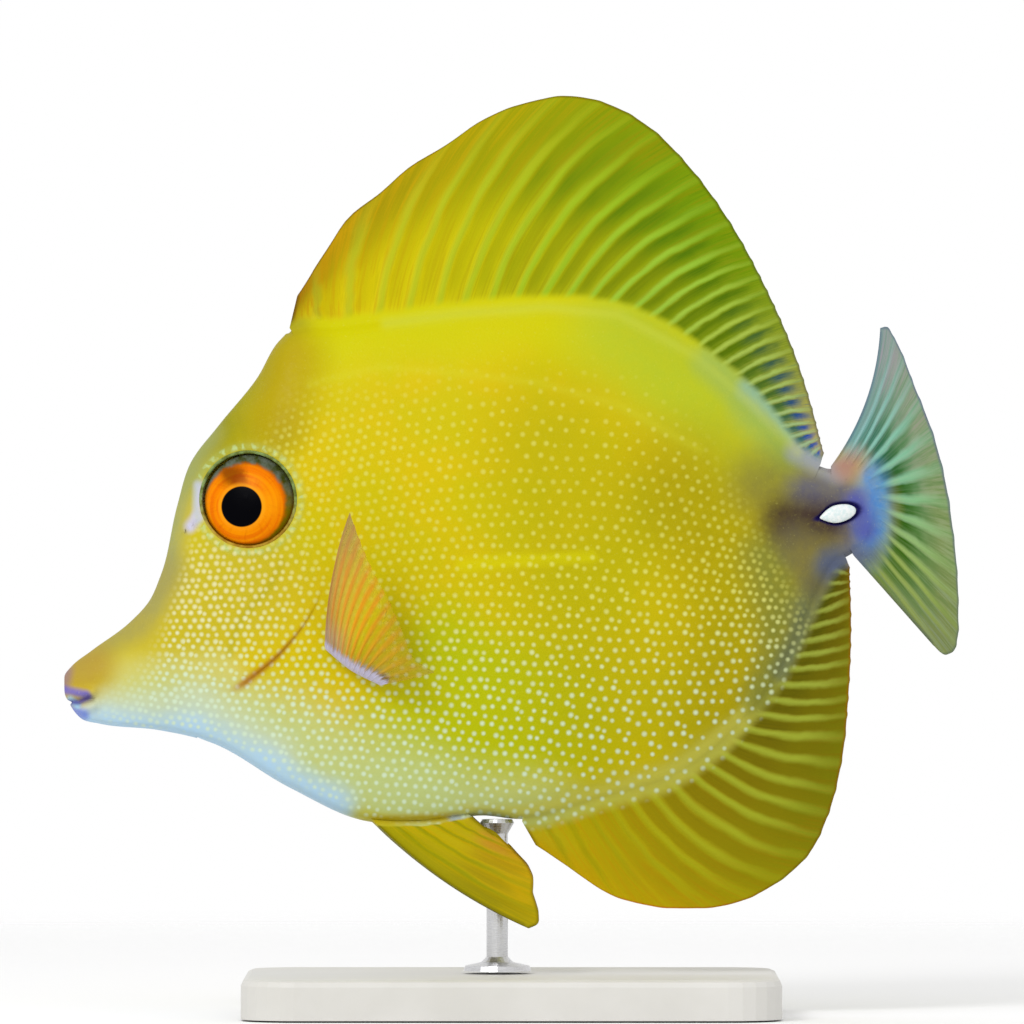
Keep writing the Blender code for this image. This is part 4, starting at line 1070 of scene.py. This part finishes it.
def sink(grid, rows):
    """Add rows that carry a fin's root on into the body: returns the grid and all shares."""
    shares = -np.array(ROOT_DEPTHS)[None, :] / ray_lengths(grid)[:, None]
    first = (grid[:, 1] - grid[:, 0]) / rows[1]
    sunk = grid[:, :1] + first[:, None, :] * shares[..., None]
    return np.hstack([sunk, grid]), np.hstack([shares, np.tile(rows, (len(grid), 1))])


def seat(grid, rows, half, out, heel):
    """Lay a fin's root over the skin, so that fin and body run into each other.

    Out is the direction away from the body at each ray, and heel the half width of the body
    at its edge. Returns the grid, the shares and the half thickness with the added rows.
    """
    depths = np.tile(SEAT_DEPTHS, (len(grid), 1))
    base = grid[:, :1] - out[:, None, :] * GAP
    over = base - out[:, None, :] * depths[..., None]
    skin = skin_surface(over[..., 0], over[..., 1]) + SEAT_LIFT
    skin[:, 0] -= 2.0 * SEAT_LIFT
    height = np.hstack([-depths, np.sum((grid - base) * out[:, None, :], axis=-1)])
    body = heel[:, None] - SEAT_SLOPE * height
    body[:, :depths.shape[1]] = np.maximum(body[:, :depths.shape[1]], skin)
    body[:, 0] = skin[:, 0]
    fin = np.hstack([np.repeat(half[:, :1], depths.shape[1], axis=1), half])
    soft = SEAT_SOFTNESS * soft_step(height, -1.2, -0.2)
    half = 0.5 * (body + fin + np.sqrt((body - fin) ** 2 + soft ** 2))
    shares = np.hstack([-(depths + GAP) / ray_lengths(grid)[:, None],
                        np.tile(rows, (len(grid), 1))])
    return np.hstack([over, grid]), shares, half


def from_ray(columns):
    """How far columns of a fin lie from the nearest ray, as shares of a space between rays."""
    return np.abs((columns + 0.5) % 1.0 - 0.5)


def ray_crest(columns, shares, branching):
    """Height of the rays' crests, which fork towards the rim."""
    split = 0.15 * branching[:, None] * soft_step(shares, 0.45, 0.95)
    off = from_ray(columns)[:, None] - split
    return np.clip(1.0 - (off / RAY_HALF_SPACE) ** 2, 0.0, 1.0) ** 1.5


def draw_rim(grid, rows, columns):
    """Draw the rim back a little between the rays."""
    back = grid[:, -3] - grid[:, -1]
    back /= np.linalg.norm(back, axis=-1)[:, None]
    pull = np.minimum(SCALLOP, 0.04 * ray_lengths(grid)) * soft_step(from_ray(columns), 0.0, 0.3)
    return grid + back[:, None, :] * (pull[:, None] * rows ** 14)[..., None]


def fin_thickness(columns, shares, root_half, branching):
    """Half thickness of a fin with raised rays, thicker at its root."""
    rows = np.clip(shares, 0.0, 1.0)
    flat = RIM_HALF + (MEMBRANE_HALF - RIM_HALF) * (1.0 - rows ** 3)
    flesh = (root_half - MEMBRANE_HALF) * (1.0 - rows) ** 6
    rise = RAY_RISE * np.clip(rows / 0.07, 0.0, 1.0) * (1.0 - 0.75 * rows)
    return flat + flesh + rise * ray_crest(columns, shares, branching)


def fin_fields(grid, shares, columns):
    """Numbers that a fin's colours are made from."""
    x, z = grid[..., 0], grid[..., 1]
    start = int(np.sum(shares[0] < 0.0))
    length = ray_lengths(grid[:, start:])[:, None]
    to_side = np.minimum(distance_to(grid[0, start::4], x, z), distance_to(grid[-1, start::4], x, z))
    ray = columns[:, None] * np.ones_like(x)
    return {"ray": ray, "row": shares, "span": ray / columns[-1], "root_mm": shares * length,
            "edge_mm": np.minimum((1.0 - shares) * length, to_side)}


def build_fin(name, middle, half, material, nodes, numbers):
    """A thin closed fin around its middle surface."""
    normal = np.cross(np.gradient(middle, axis=0), np.gradient(middle, axis=1))
    normal /= np.linalg.norm(normal, axis=-1)[..., None]
    columns, rows = half.shape
    near = (middle - normal * half[..., None]).reshape(-1, 3)
    far = (middle + normal * half[..., None]).reshape(-1, 3)
    points = np.vstack([near, far])
    places = np.arange(columns * rows).reshape(columns, rows)
    a = places[:-1, :-1].ravel()
    quads = np.stack([a, a + rows, a + rows + 1, a + 1], axis=-1)
    faces = quads.tolist() + (quads[:, ::-1] + places.size).tolist()
    outline = np.concatenate([places[:, 0], places[-1, 1:], places[-2::-1, -1], places[0, -2:0:-1]])
    after = np.roll(outline, -1)
    faces += np.stack([outline, outline + places.size, after + places.size, after], -1).tolist()
    fields = {key: np.tile(np.ravel(value), 2) for key, value in numbers.items()}
    fields.update(paint_fields(points[:, 0], points[:, 2]))
    make_piece(name, points, faces, material, nodes, fields, sharp=60.0)


def build_upright_fin(name, material, root, rims, bow, columns, roots, rows, shape,
                      outward=1.0):
    """A fin in the plane of symmetry: shape is its rim, root's half width, forks and heel."""
    rim, root_half, branching, heel = shape
    grid = draw_rim(fan(root, smooth_curve(rim), roots, rims, bow, rows), rows, columns)
    half = fin_thickness(columns, np.tile(rows, (len(columns), 1)), root_half, branching)
    out = along(root, roots, left_of(root) * outward)
    grid, shares, half = seat(grid, rows, half, out, heel)
    middle = np.insert(grid, 1, 0.0, axis=-1)
    build_fin("fin_" + name, middle, half, material, (name + "_fin",),
              fin_fields(grid, shares, columns))


def build_dorsal_fin(material):
    """The tall fin along the back."""
    columns = fin_columns(DORSAL_RAYS)
    roots = table(DORSAL_PLACES, columns)
    root = offset_curve(between(BACK, *DORSAL_ROOT), GAP)
    heel = table(BACK_KEEL, along(root, roots)[:, 0]) + SEAT_FILLET
    shape = (DORSAL_RIM, DORSAL_ROOT_HALF, soft_step(columns, 4.0, 6.0), heel)
    build_upright_fin("dorsal", material, root, table(DORSAL_SPREAD, roots),
                      DORSAL_BOW, columns, roots, fin_rows(DORSAL_ROWS), shape)


def build_anal_fin(material):
    """The fin below the rear of the body."""
    columns = fin_columns(ANAL_RAYS)
    roots = table(ANAL_PLACES, columns)
    root = offset_curve(between(BELLY, *ANAL_ROOT), -GAP)
    heel = np.minimum(table(BELLY_KEEL, along(root, roots)[:, 0]), 0.6) + SEAT_FILLET
    shape = (ANAL_RIM, ANAL_ROOT_HALF, soft_step(columns, 2.0, 4.0), heel)
    build_upright_fin("anal", material, root, table(ANAL_SPREAD, roots), ANAL_BOW,
                      columns, roots, fin_rows(ANAL_ROWS), shape, outward=-1.0)


def build_caudal_fin(material):
    """The tail fin, set around the rounded end of the peduncle."""
    columns = fin_columns(CAUDAL_RAYS)
    rims = table(CAUDAL_PLACES, columns)
    roots = table([(rim, root) for root, rim in CAUDAL_SPREAD], rims)
    upper = offset_curve(between(BACK, CAUDAL_ROOT[0], BACK[-1, 0]), GAP)
    lower = offset_curve(between(BELLY, CAUDAL_ROOT[1], BELLY[-1, 0]), -GAP)
    root = np.vstack([upper[:-1], (upper[-1:] + lower[-1:]) / 2.0, lower[::-1][1:]])
    shape = (CAUDAL_RIM, CAUDAL_ROOT_HALF, np.ones(len(columns)), np.full(len(columns), 0.6))
    build_upright_fin("caudal", material, root, rims, CAUDAL_BOW, columns, roots,
                      fin_rows(CAUDAL_ROWS), shape)


def build_paired_fins(name, material, grid, rows, columns, marks, out, root_half):
    """A left and a right fin: out is how far each point lies from the plane of symmetry."""
    grid, shares = sink(draw_rim(grid, rows, columns), rows)
    half = fin_thickness(columns, shares, root_half, np.ones(len(columns)))
    numbers = fin_fields(grid, shares, columns)
    for word, side in SIDES:
        middle = np.insert(grid, 1, side * out(marks, shares), axis=-1)
        build_fin("fin_{}_{}".format(name, word), middle, half, material,
                  ("{}_fin_{}".format(name, word),), numbers)


def build_pectoral_fins(material):
    """The side fins, held out from the body behind the gill covers."""
    columns = fin_columns(PECTORAL_RAYS)
    marks = columns / columns[-1]
    rows = fin_rows(PECTORAL_ROWS)
    root = smooth_curve(PECTORAL_ROOT)
    grid = fan(root, smooth_curve(PECTORAL_RIM), marks, marks, PECTORAL_BOW, rows ** 1.25)
    start = half_width(*along(root, marks).T) + GAP

    def out(marks, shares):
        even = np.sign(shares) * np.abs(shares) ** 0.8
        rise = 1.0 - (1.0 - np.minimum(even, 1.0)) ** 2.2
        return start[:, None] + table(PECTORAL_REACH, marks)[:, None] * rise

    build_paired_fins("pectoral", material, grid, rows, columns, marks, out,
                      PECTORAL_ROOT_HALF)


def build_pelvic_fins(material):
    """The paired fins under the chest."""
    columns = fin_columns(PELVIC_RAYS)
    marks = columns / columns[-1]
    rows = fin_rows(PELVIC_ROWS)
    root = offset_curve(between(BELLY, *PELVIC_ROOT), -GAP)
    grid = fan(root, smooth_curve(PELVIC_RIM), marks, marks, PELVIC_BOW, rows)

    def out(marks, shares):
        return PELVIC_OFFSET + PELVIC_SPREAD * shares * (1.0 - 0.5 * marks[:, None])

    build_paired_fins("pelvic", material, grid, rows, columns, marks, out,
                      PELVIC_ROOT_HALF)


def make_pectoral_material():
    """Clear yellow membrane between soft orange rays, with a pale bar at the root."""
    material, tree = new_material("pectoral", 0.45, 0.06)
    ray, row, span, root, edge = map(tree.field, ("ray", "row", "span", "root_mm", "edge_mm"))
    streaks = tree.noise(tree.vector(ray * 4.0, row * 3.0), 1.0, 3.0, 0.6)
    phase = tree.math("FRACT", ray + streaks.step(0.3, 0.7, -0.08, 0.08) + 0.5)
    off = tree.math("ABSOLUTE", phase - 0.5)
    on_ray = off.step(0.05, 0.45, 1.0, 0.0) * span.step(0.45, 1.0, 1.0, 0.6)
    ends = span.step(0.0, 0.35, 1.0, 0.15).most(span.step(0.85, 1.0))
    tip = row.step(0.7, 1.0, 0.0, 0.6) * ends
    ragged = root + streaks.step(0.3, 0.7, -0.25, 0.25)
    glow = ragged.step(1.2, 5.5, 1.0, 0.0) * span.step(0.0, 0.5, 0.75, 0.0)
    bar = ragged.step(0.9, 1.8, 1.0, 0.0)
    colour = tree.layers(
        tree.ramp(span, PECTORAL_MEMBRANE), (on_ray, tree.ramp(span, PECTORAL_ORANGE)),
        (tip, (168, 148, 100)), (glow, (216, 190, 170)), (bar, (222, 216, 250)),
        (root.step(-0.3, 0.15, 1.0, 0.0), (200, 176, 50)))
    alpha = row.step(0.35, 1.0, 0.78, 0.5) + on_ray * 0.22 - span.step(0.35, 0.9, 0.0, 0.22)
    worn = edge.step(0.0, 1.4, 0.45, 1.0).most(span.step(0.1, 0.3, 1.0, 0.0))
    alpha = (alpha.most(tip) * worn).most(bar)
    tree.show(Base_Color=colour, Alpha=alpha.clipped(), Normal=tree.relief(streaks, 0.25, 0.05))
    return material


def make_spine_material():
    """White horny spine with a cool grain."""
    material, tree = new_material("spine", 0.22, 0.45)
    grain = tree.noise(tree.place(), 2.5, 3.0)
    tree.show(Base_Color=tree.mix(grain.step(0.3, 0.7), (222, 240, 240), (250, 252, 250)),
              Roughness=grain.step(0.3, 0.7, 0.18, 0.3), Normal=tree.relief(grain, 0.15, 0.03))
    return material


def build_spines(material):
    """Both tail spines: a leaf-shaped blade with the point to the front."""
    levels = 40
    cos, sin = circle(48)
    turns = math.pi * np.arange(1, levels)[:, None] / levels
    forward = np.cos(turns)
    radius = np.sin(turns)
    rings = np.stack([forward + 0.0 * cos, radius * leaf_share(forward) * cos, radius * sin], axis=-1)
    half = np.array([SPINE_LENGTH, SPINE_HEIGHT, SPINE_THICKNESS]) / 2.0
    ends = np.array([(1.0, 0.0, 0.0), (-1.0, 0.0, 0.0)])
    for word, side in SIDES:
        placed = side_frame(*SPINE_CENTRE, side, 0.05)
        placed = placed @ Matrix.Rotation(SPINE_TILT * -side, 4, "Z")
        points, faces = capped_tube(placed, rings * half, ends * half)
        make_piece("spine_" + word, points, faces, material,
                   ("caudal_spine_" + word,))


def make_stand_materials():
    """Off-white satin plastic for the base and brushed steel for the rod."""
    base, tree = new_material("stand_base", 0.5, 0.35)
    place = tree.place()
    cloud = tree.noise(place, 0.05, 4.0, 0.6)
    tree.show(Base_Color=tree.mix(cloud.step(0.35, 0.65), (222, 220, 214), (230, 228, 223)),
              Roughness=cloud.step(0.3, 0.7, 0.44, 0.56),
              Normal=tree.relief(tree.noise(place, 3.0), 0.2, 0.04))
    rod, tree = new_material("stand_rod", 0.3, 0.5, metallic=1.0)
    stretched = tree.add("ShaderNodeMapping", tree.place())
    stretched.inputs["Scale"].default_value = (3.0, 3.0, 90.0)
    lines = tree.noise(stretched.outputs[0], 0.3, 3.0, 0.6)
    tree.show(Base_Color=tree.mix(lines.step(0.3, 0.7), (214.4, 214.4, 216.2), (238.0, 238.0, 239.5)),
              Roughness=lines.step(0.3, 0.7, 0.24, 0.4), Normal=tree.relief(lines, 0.25, 0.03))
    return base, rod


def dress_stand(frame):
    """Give the stand's own solids their materials."""
    base, rod = make_stand_materials()
    for node, material in (("stand_base", base), ("stand_rod", rod)):
        mesh = frame["nodes"][node].data
        mesh.materials.clear()
        mesh.materials.append(material)


# In each look, gap holds the colours of the dark wedges, which are partly painted ray shadow.
DORSAL_LOOK = FinLook(
    base=([(0.0, 150, 130, 30), (0.02, 204, 184, 10), (0.08, 220, 202, 4), (0.2, 206, 196, 6),
           (0.3, 186, 186, 8), (0.4, 160, 170, 10), (0.5, 138, 156, 14), (0.65, 120, 142, 28),
           (0.85, 110, 140, 60), (1.0, 112, 140, 130)],
          [(0.0, 150, 110, 20), (0.04, 176, 142, 8), (0.1, 174, 158, 6), (0.17, 158, 160, 6),
           (0.25, 136, 154, 8), (0.35, 120, 152, 14), (0.5, 120, 150, 20), (0.7, 138, 150, 44),
           (0.9, 168, 158, 90), (1.0, 176, 166, 112)]),
    ray=[(0.0, 150, 150, 40), (0.08, 184, 192, 44), (0.2, 174, 192, 42), (0.3, 156, 192, 44),
         (0.45, 154, 196, 64), (0.6, 170, 192, 76), (0.75, 164, 188, 100), (1.0, 156, 184, 150)],
    streak=[(0.0, 170, 110, 20), (0.06, 206, 160, 6), (0.15, 190, 166, 4), (0.25, 152, 142, 4),
            (0.4, 138, 142, 10), (0.6, 140, 156, 40), (1.0, 186, 172, 110)],
    gap=([(0.0, 180, 160, 10), (0.2, 170, 170, 4), (0.35, 134, 144, 4), (0.5, 104, 126, 6),
          (0.65, 88, 114, 14), (0.8, 70, 102, 50), (0.9, 56, 100, 100), (1.0, 60, 120, 140)],
         [(0.0, 160, 130, 10), (0.15, 146, 150, 4), (0.25, 112, 136, 4), (0.4, 90, 124, 8),
          (0.55, 82, 112, 20), (0.68, 70, 98, 60), (0.8, 46, 80, 120), (0.9, 34, 74, 166),
          (1.0, 44, 80, 166)]),
    margin=[(0.0, 96, 60, 30), (0.2, 110, 90, 16), (0.4, 80, 90, 20), (1.0, 110, 100, 90)],
    ray_strength=[(0.0, 0.5), (0.12, 0.75), (0.3, 0.85), (1.0, 0.95)],
    gap_strength=[(0.0, 0.35), (0.15, 0.5), (0.3, 0.95), (1.0, 1.0)],
    wedge=(-0.05, 0.12, 0.55, 1.0), crest=(0.24, 0.22), trough=0.36, reach=1.1)

ANAL_LOOK = FinLook(
    base=([(0.0, 194, 186, 44), (0.08, 196, 178, 10), (0.2, 178, 162, 6), (0.33, 158, 146, 8),
           (0.5, 138, 132, 12), (0.7, 126, 124, 14), (1.0, 110, 114, 14)],
          [(0.0, 200, 164, 10), (0.06, 202, 176, 6), (0.13, 192, 168, 6), (0.22, 158, 150, 6),
           (0.33, 122, 126, 12), (0.5, 120, 122, 14), (0.7, 126, 122, 12), (1.0, 132, 114, 8)]),
    ray=[(0.0, 156, 150, 16), (0.1, 158, 152, 12), (0.2, 172, 172, 34), (0.35, 166, 176, 52),
         (0.6, 162, 174, 66), (1.0, 150, 162, 76)],
    streak=[(0.0, 206, 166, 10), (0.12, 200, 146, 10), (0.25, 158, 128, 8), (0.45, 130, 110, 8),
            (1.0, 108, 92, 8)],
    gap=([(0.0, 180, 162, 6), (0.15, 158, 144, 4), (0.3, 136, 122, 4), (0.5, 106, 98, 3),
          (0.75, 90, 88, 3), (1.0, 66, 76, 6)],
         [(0.0, 186, 160, 6), (0.12, 164, 144, 4), (0.25, 144, 132, 4), (0.45, 122, 114, 4),
          (0.75, 102, 94, 4), (1.0, 86, 78, 5)]),
    margin=[(0.0, 130, 110, 10), (0.12, 196, 96, 16), (0.25, 110, 90, 14), (0.6, 150, 96, 14),
            (1.0, 128, 86, 12)],
    ray_strength=[(0.0, 0.6), (0.2, 0.75), (0.4, 0.85), (1.0, 0.9)],
    gap_strength=[(0.0, 0.4), (0.12, 0.5), (0.3, 0.85), (1.0, 0.95)],
    wedge=(-0.03, 0.06, 0.6, 1.3), crest=(0.32, 0.3), trough=0.62, reach=1.5)

CAUDAL_LOOK = FinLook(
    base=([(0.0, 134, 186, 186), (0.2, 126, 180, 166), (0.5, 118, 172, 150), (0.75, 142, 164, 88),
           (1.0, 142, 156, 80)],
          [(0.0, 140, 158, 152), (0.2, 136, 156, 130), (0.5, 130, 150, 96), (0.8, 130, 142, 84),
           (1.0, 128, 136, 86)]),
    ray=[(0.0, 148, 196, 196), (0.25, 136, 200, 178), (0.5, 140, 196, 140), (0.75, 156, 180, 88),
         (1.0, 150, 166, 84)],
    streak=[(0.0, 168, 156, 170), (0.3, 160, 156, 142), (0.6, 150, 168, 120), (1.0, 130, 146, 130)],
    gap=([(0.0, 92, 142, 128), (0.2, 58, 112, 88), (0.45, 40, 88, 20), (0.7, 60, 100, 24),
          (1.0, 96, 126, 60)],
         [(0.0, 100, 140, 120), (0.3, 80, 124, 74), (0.6, 74, 118, 50), (1.0, 100, 128, 86)]),
    margin=[(0.0, 90, 110, 130), (0.3, 96, 104, 140), (0.7, 100, 110, 110), (1.0, 90, 104, 80)],
    ray_strength=[(0.0, 0.4), (0.3, 0.75), (0.7, 0.75), (1.0, 0.4)],
    gap_strength=[(0.0, 0.3), (0.17, 0.9), (0.5, 1.0), (0.83, 0.95), (1.0, 0.3)],
    wedge=(0.1, 0.22, 0.42, 0.85), crest=(0.36, 0.32), trough=0.6, reach=3.6)

PELVIC_LOOK = FinLook(
    base=([(0.0, 160, 154, 16), (0.4, 190, 176, 10), (1.0, 196, 182, 14)],
          [(0.0, 166, 152, 10), (0.4, 190, 166, 10), (0.8, 188, 150, 30), (1.0, 176, 166, 20)]),
    ray=[(0.0, 150, 150, 24), (0.5, 158, 152, 14), (1.0, 150, 142, 20)],
    streak=[(0.0, 196, 170, 10), (0.5, 214, 164, 14), (0.85, 206, 146, 40), (1.0, 190, 160, 30)],
    gap=([(0.0, 156, 148, 8), (0.5, 190, 170, 6), (1.0, 176, 160, 10)],
         [(0.0, 150, 142, 8), (0.5, 176, 148, 8), (0.8, 204, 146, 50), (1.0, 160, 150, 10)]),
    margin=[(0.0, 120, 110, 16), (0.6, 150, 116, 30), (1.0, 130, 112, 20)],
    ray_strength=[(0.0, 0.9), (1.0, 0.9)],
    gap_strength=[(0.0, 0.9), (1.0, 0.9)],
    wedge=(0.0, 0.2, 0.7, 1.0), crest=(0.2, 0.2), trough=0.6, reach=0.25)

PECTORAL_ORANGE = [(0.0, 196, 146, 84), (0.1, 226, 156, 64), (0.4, 240, 166, 40),
                   (0.8, 230, 172, 50), (1.0, 206, 146, 64)]
PECTORAL_MEMBRANE = [(0.0, 206, 166, 90), (0.2, 228, 200, 70), (0.5, 230, 212, 36),
                     (1.0, 216, 184, 60)]


def build_fish():
    """All pieces of the fish."""
    paint = make_skin_paint()
    build_skin(make_skin_material(paint))
    build_eyes(make_eye_material(), make_rim_material())
    build_dorsal_fin(make_fin_material("dorsal", DORSAL_LOOK, paint))
    build_anal_fin(make_fin_material("anal", ANAL_LOOK, paint))
    build_caudal_fin(make_fin_material("caudal", CAUDAL_LOOK, paint))
    build_pelvic_fins(make_fin_material("pelvic", PELVIC_LOOK, paint))
    build_pectoral_fins(make_pectoral_material())
    build_spines(make_spine_material())


def build_floor():
    """A pale floor that fades out far from the stand."""
    cos, sin = circle(96)
    points = np.stack([FLOOR_RADIUS * cos, FLOOR_RADIUS * sin, FLOOR_HEIGHT + 0.0 * cos], axis=-1)
    mesh = bpy.data.meshes.new("floor")
    mesh.from_pydata((points * MM).tolist(), [], [list(range(len(points)))])
    material, tree = new_material("floor", 0.7, 0.2)
    tree.shader.inputs["Base Color"].default_value = (0.86, 0.86, 0.86, 1.0)
    length = tree.add("ShaderNodeVectorMath", tree.place(), operation="LENGTH")
    tree.show(Alpha=Number(tree, length.outputs["Value"]).step(*FLOOR_FADE, 1.0, 0.0))
    mesh.materials.append(material)
    floor = add_object("floor", mesh)


def build_light():
    """An even pale sky and one soft lamp from the upper left in front."""
    world = bpy.data.worlds.new("studio")
    bpy.context.scene.world = world
    world.use_nodes = True
    sky = world.node_tree.nodes["Background"]
    sky.inputs["Color"].default_value = (1.0, 1.0, 1.0, 1.0)
    sky.inputs["Strength"].default_value = 1.0
    lamp = bpy.data.lights.new("key", "AREA")
    lamp.shape = "DISK"
    lamp.size = 0.22
    lamp.energy = 2.0
    key = add_object("key", lamp)
    key.location = Vector(LAMP_PLACE) * MM
    aim = Vector(LAMP_AIM) * MM
    key.rotation_euler = (aim - key.location).to_track_quat("-Z", "Y").to_euler()
    bpy.context.scene.view_settings.view_transform = "Standard"


def build_camera():
    """A level camera far to the fish's left side."""
    data = bpy.data.cameras.new("camera")
    data.lens = 470.8
    data.sensor_width = 36.0
    data.clip_start = 0.1
    data.clip_end = 20.0
    camera = add_object("camera", data)
    camera.location = Vector(CAMERA_PLACE) * MM
    camera.rotation_euler = (math.radians(90.0), 0.0, 0.0)
    bpy.context.scene.camera = camera


def corners(box):
    """A box as plain lists of numbers."""
    return [[float(value) for value in corner] for corner in box]


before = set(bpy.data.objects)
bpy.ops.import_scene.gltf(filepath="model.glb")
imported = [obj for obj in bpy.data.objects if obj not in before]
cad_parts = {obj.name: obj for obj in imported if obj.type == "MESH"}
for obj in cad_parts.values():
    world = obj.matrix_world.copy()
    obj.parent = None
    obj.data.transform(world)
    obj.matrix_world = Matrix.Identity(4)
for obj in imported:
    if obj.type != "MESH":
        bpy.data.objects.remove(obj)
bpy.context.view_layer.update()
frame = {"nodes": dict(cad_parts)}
build_camera()
build_light()
build_floor()
dress_stand(frame)
build_fish()
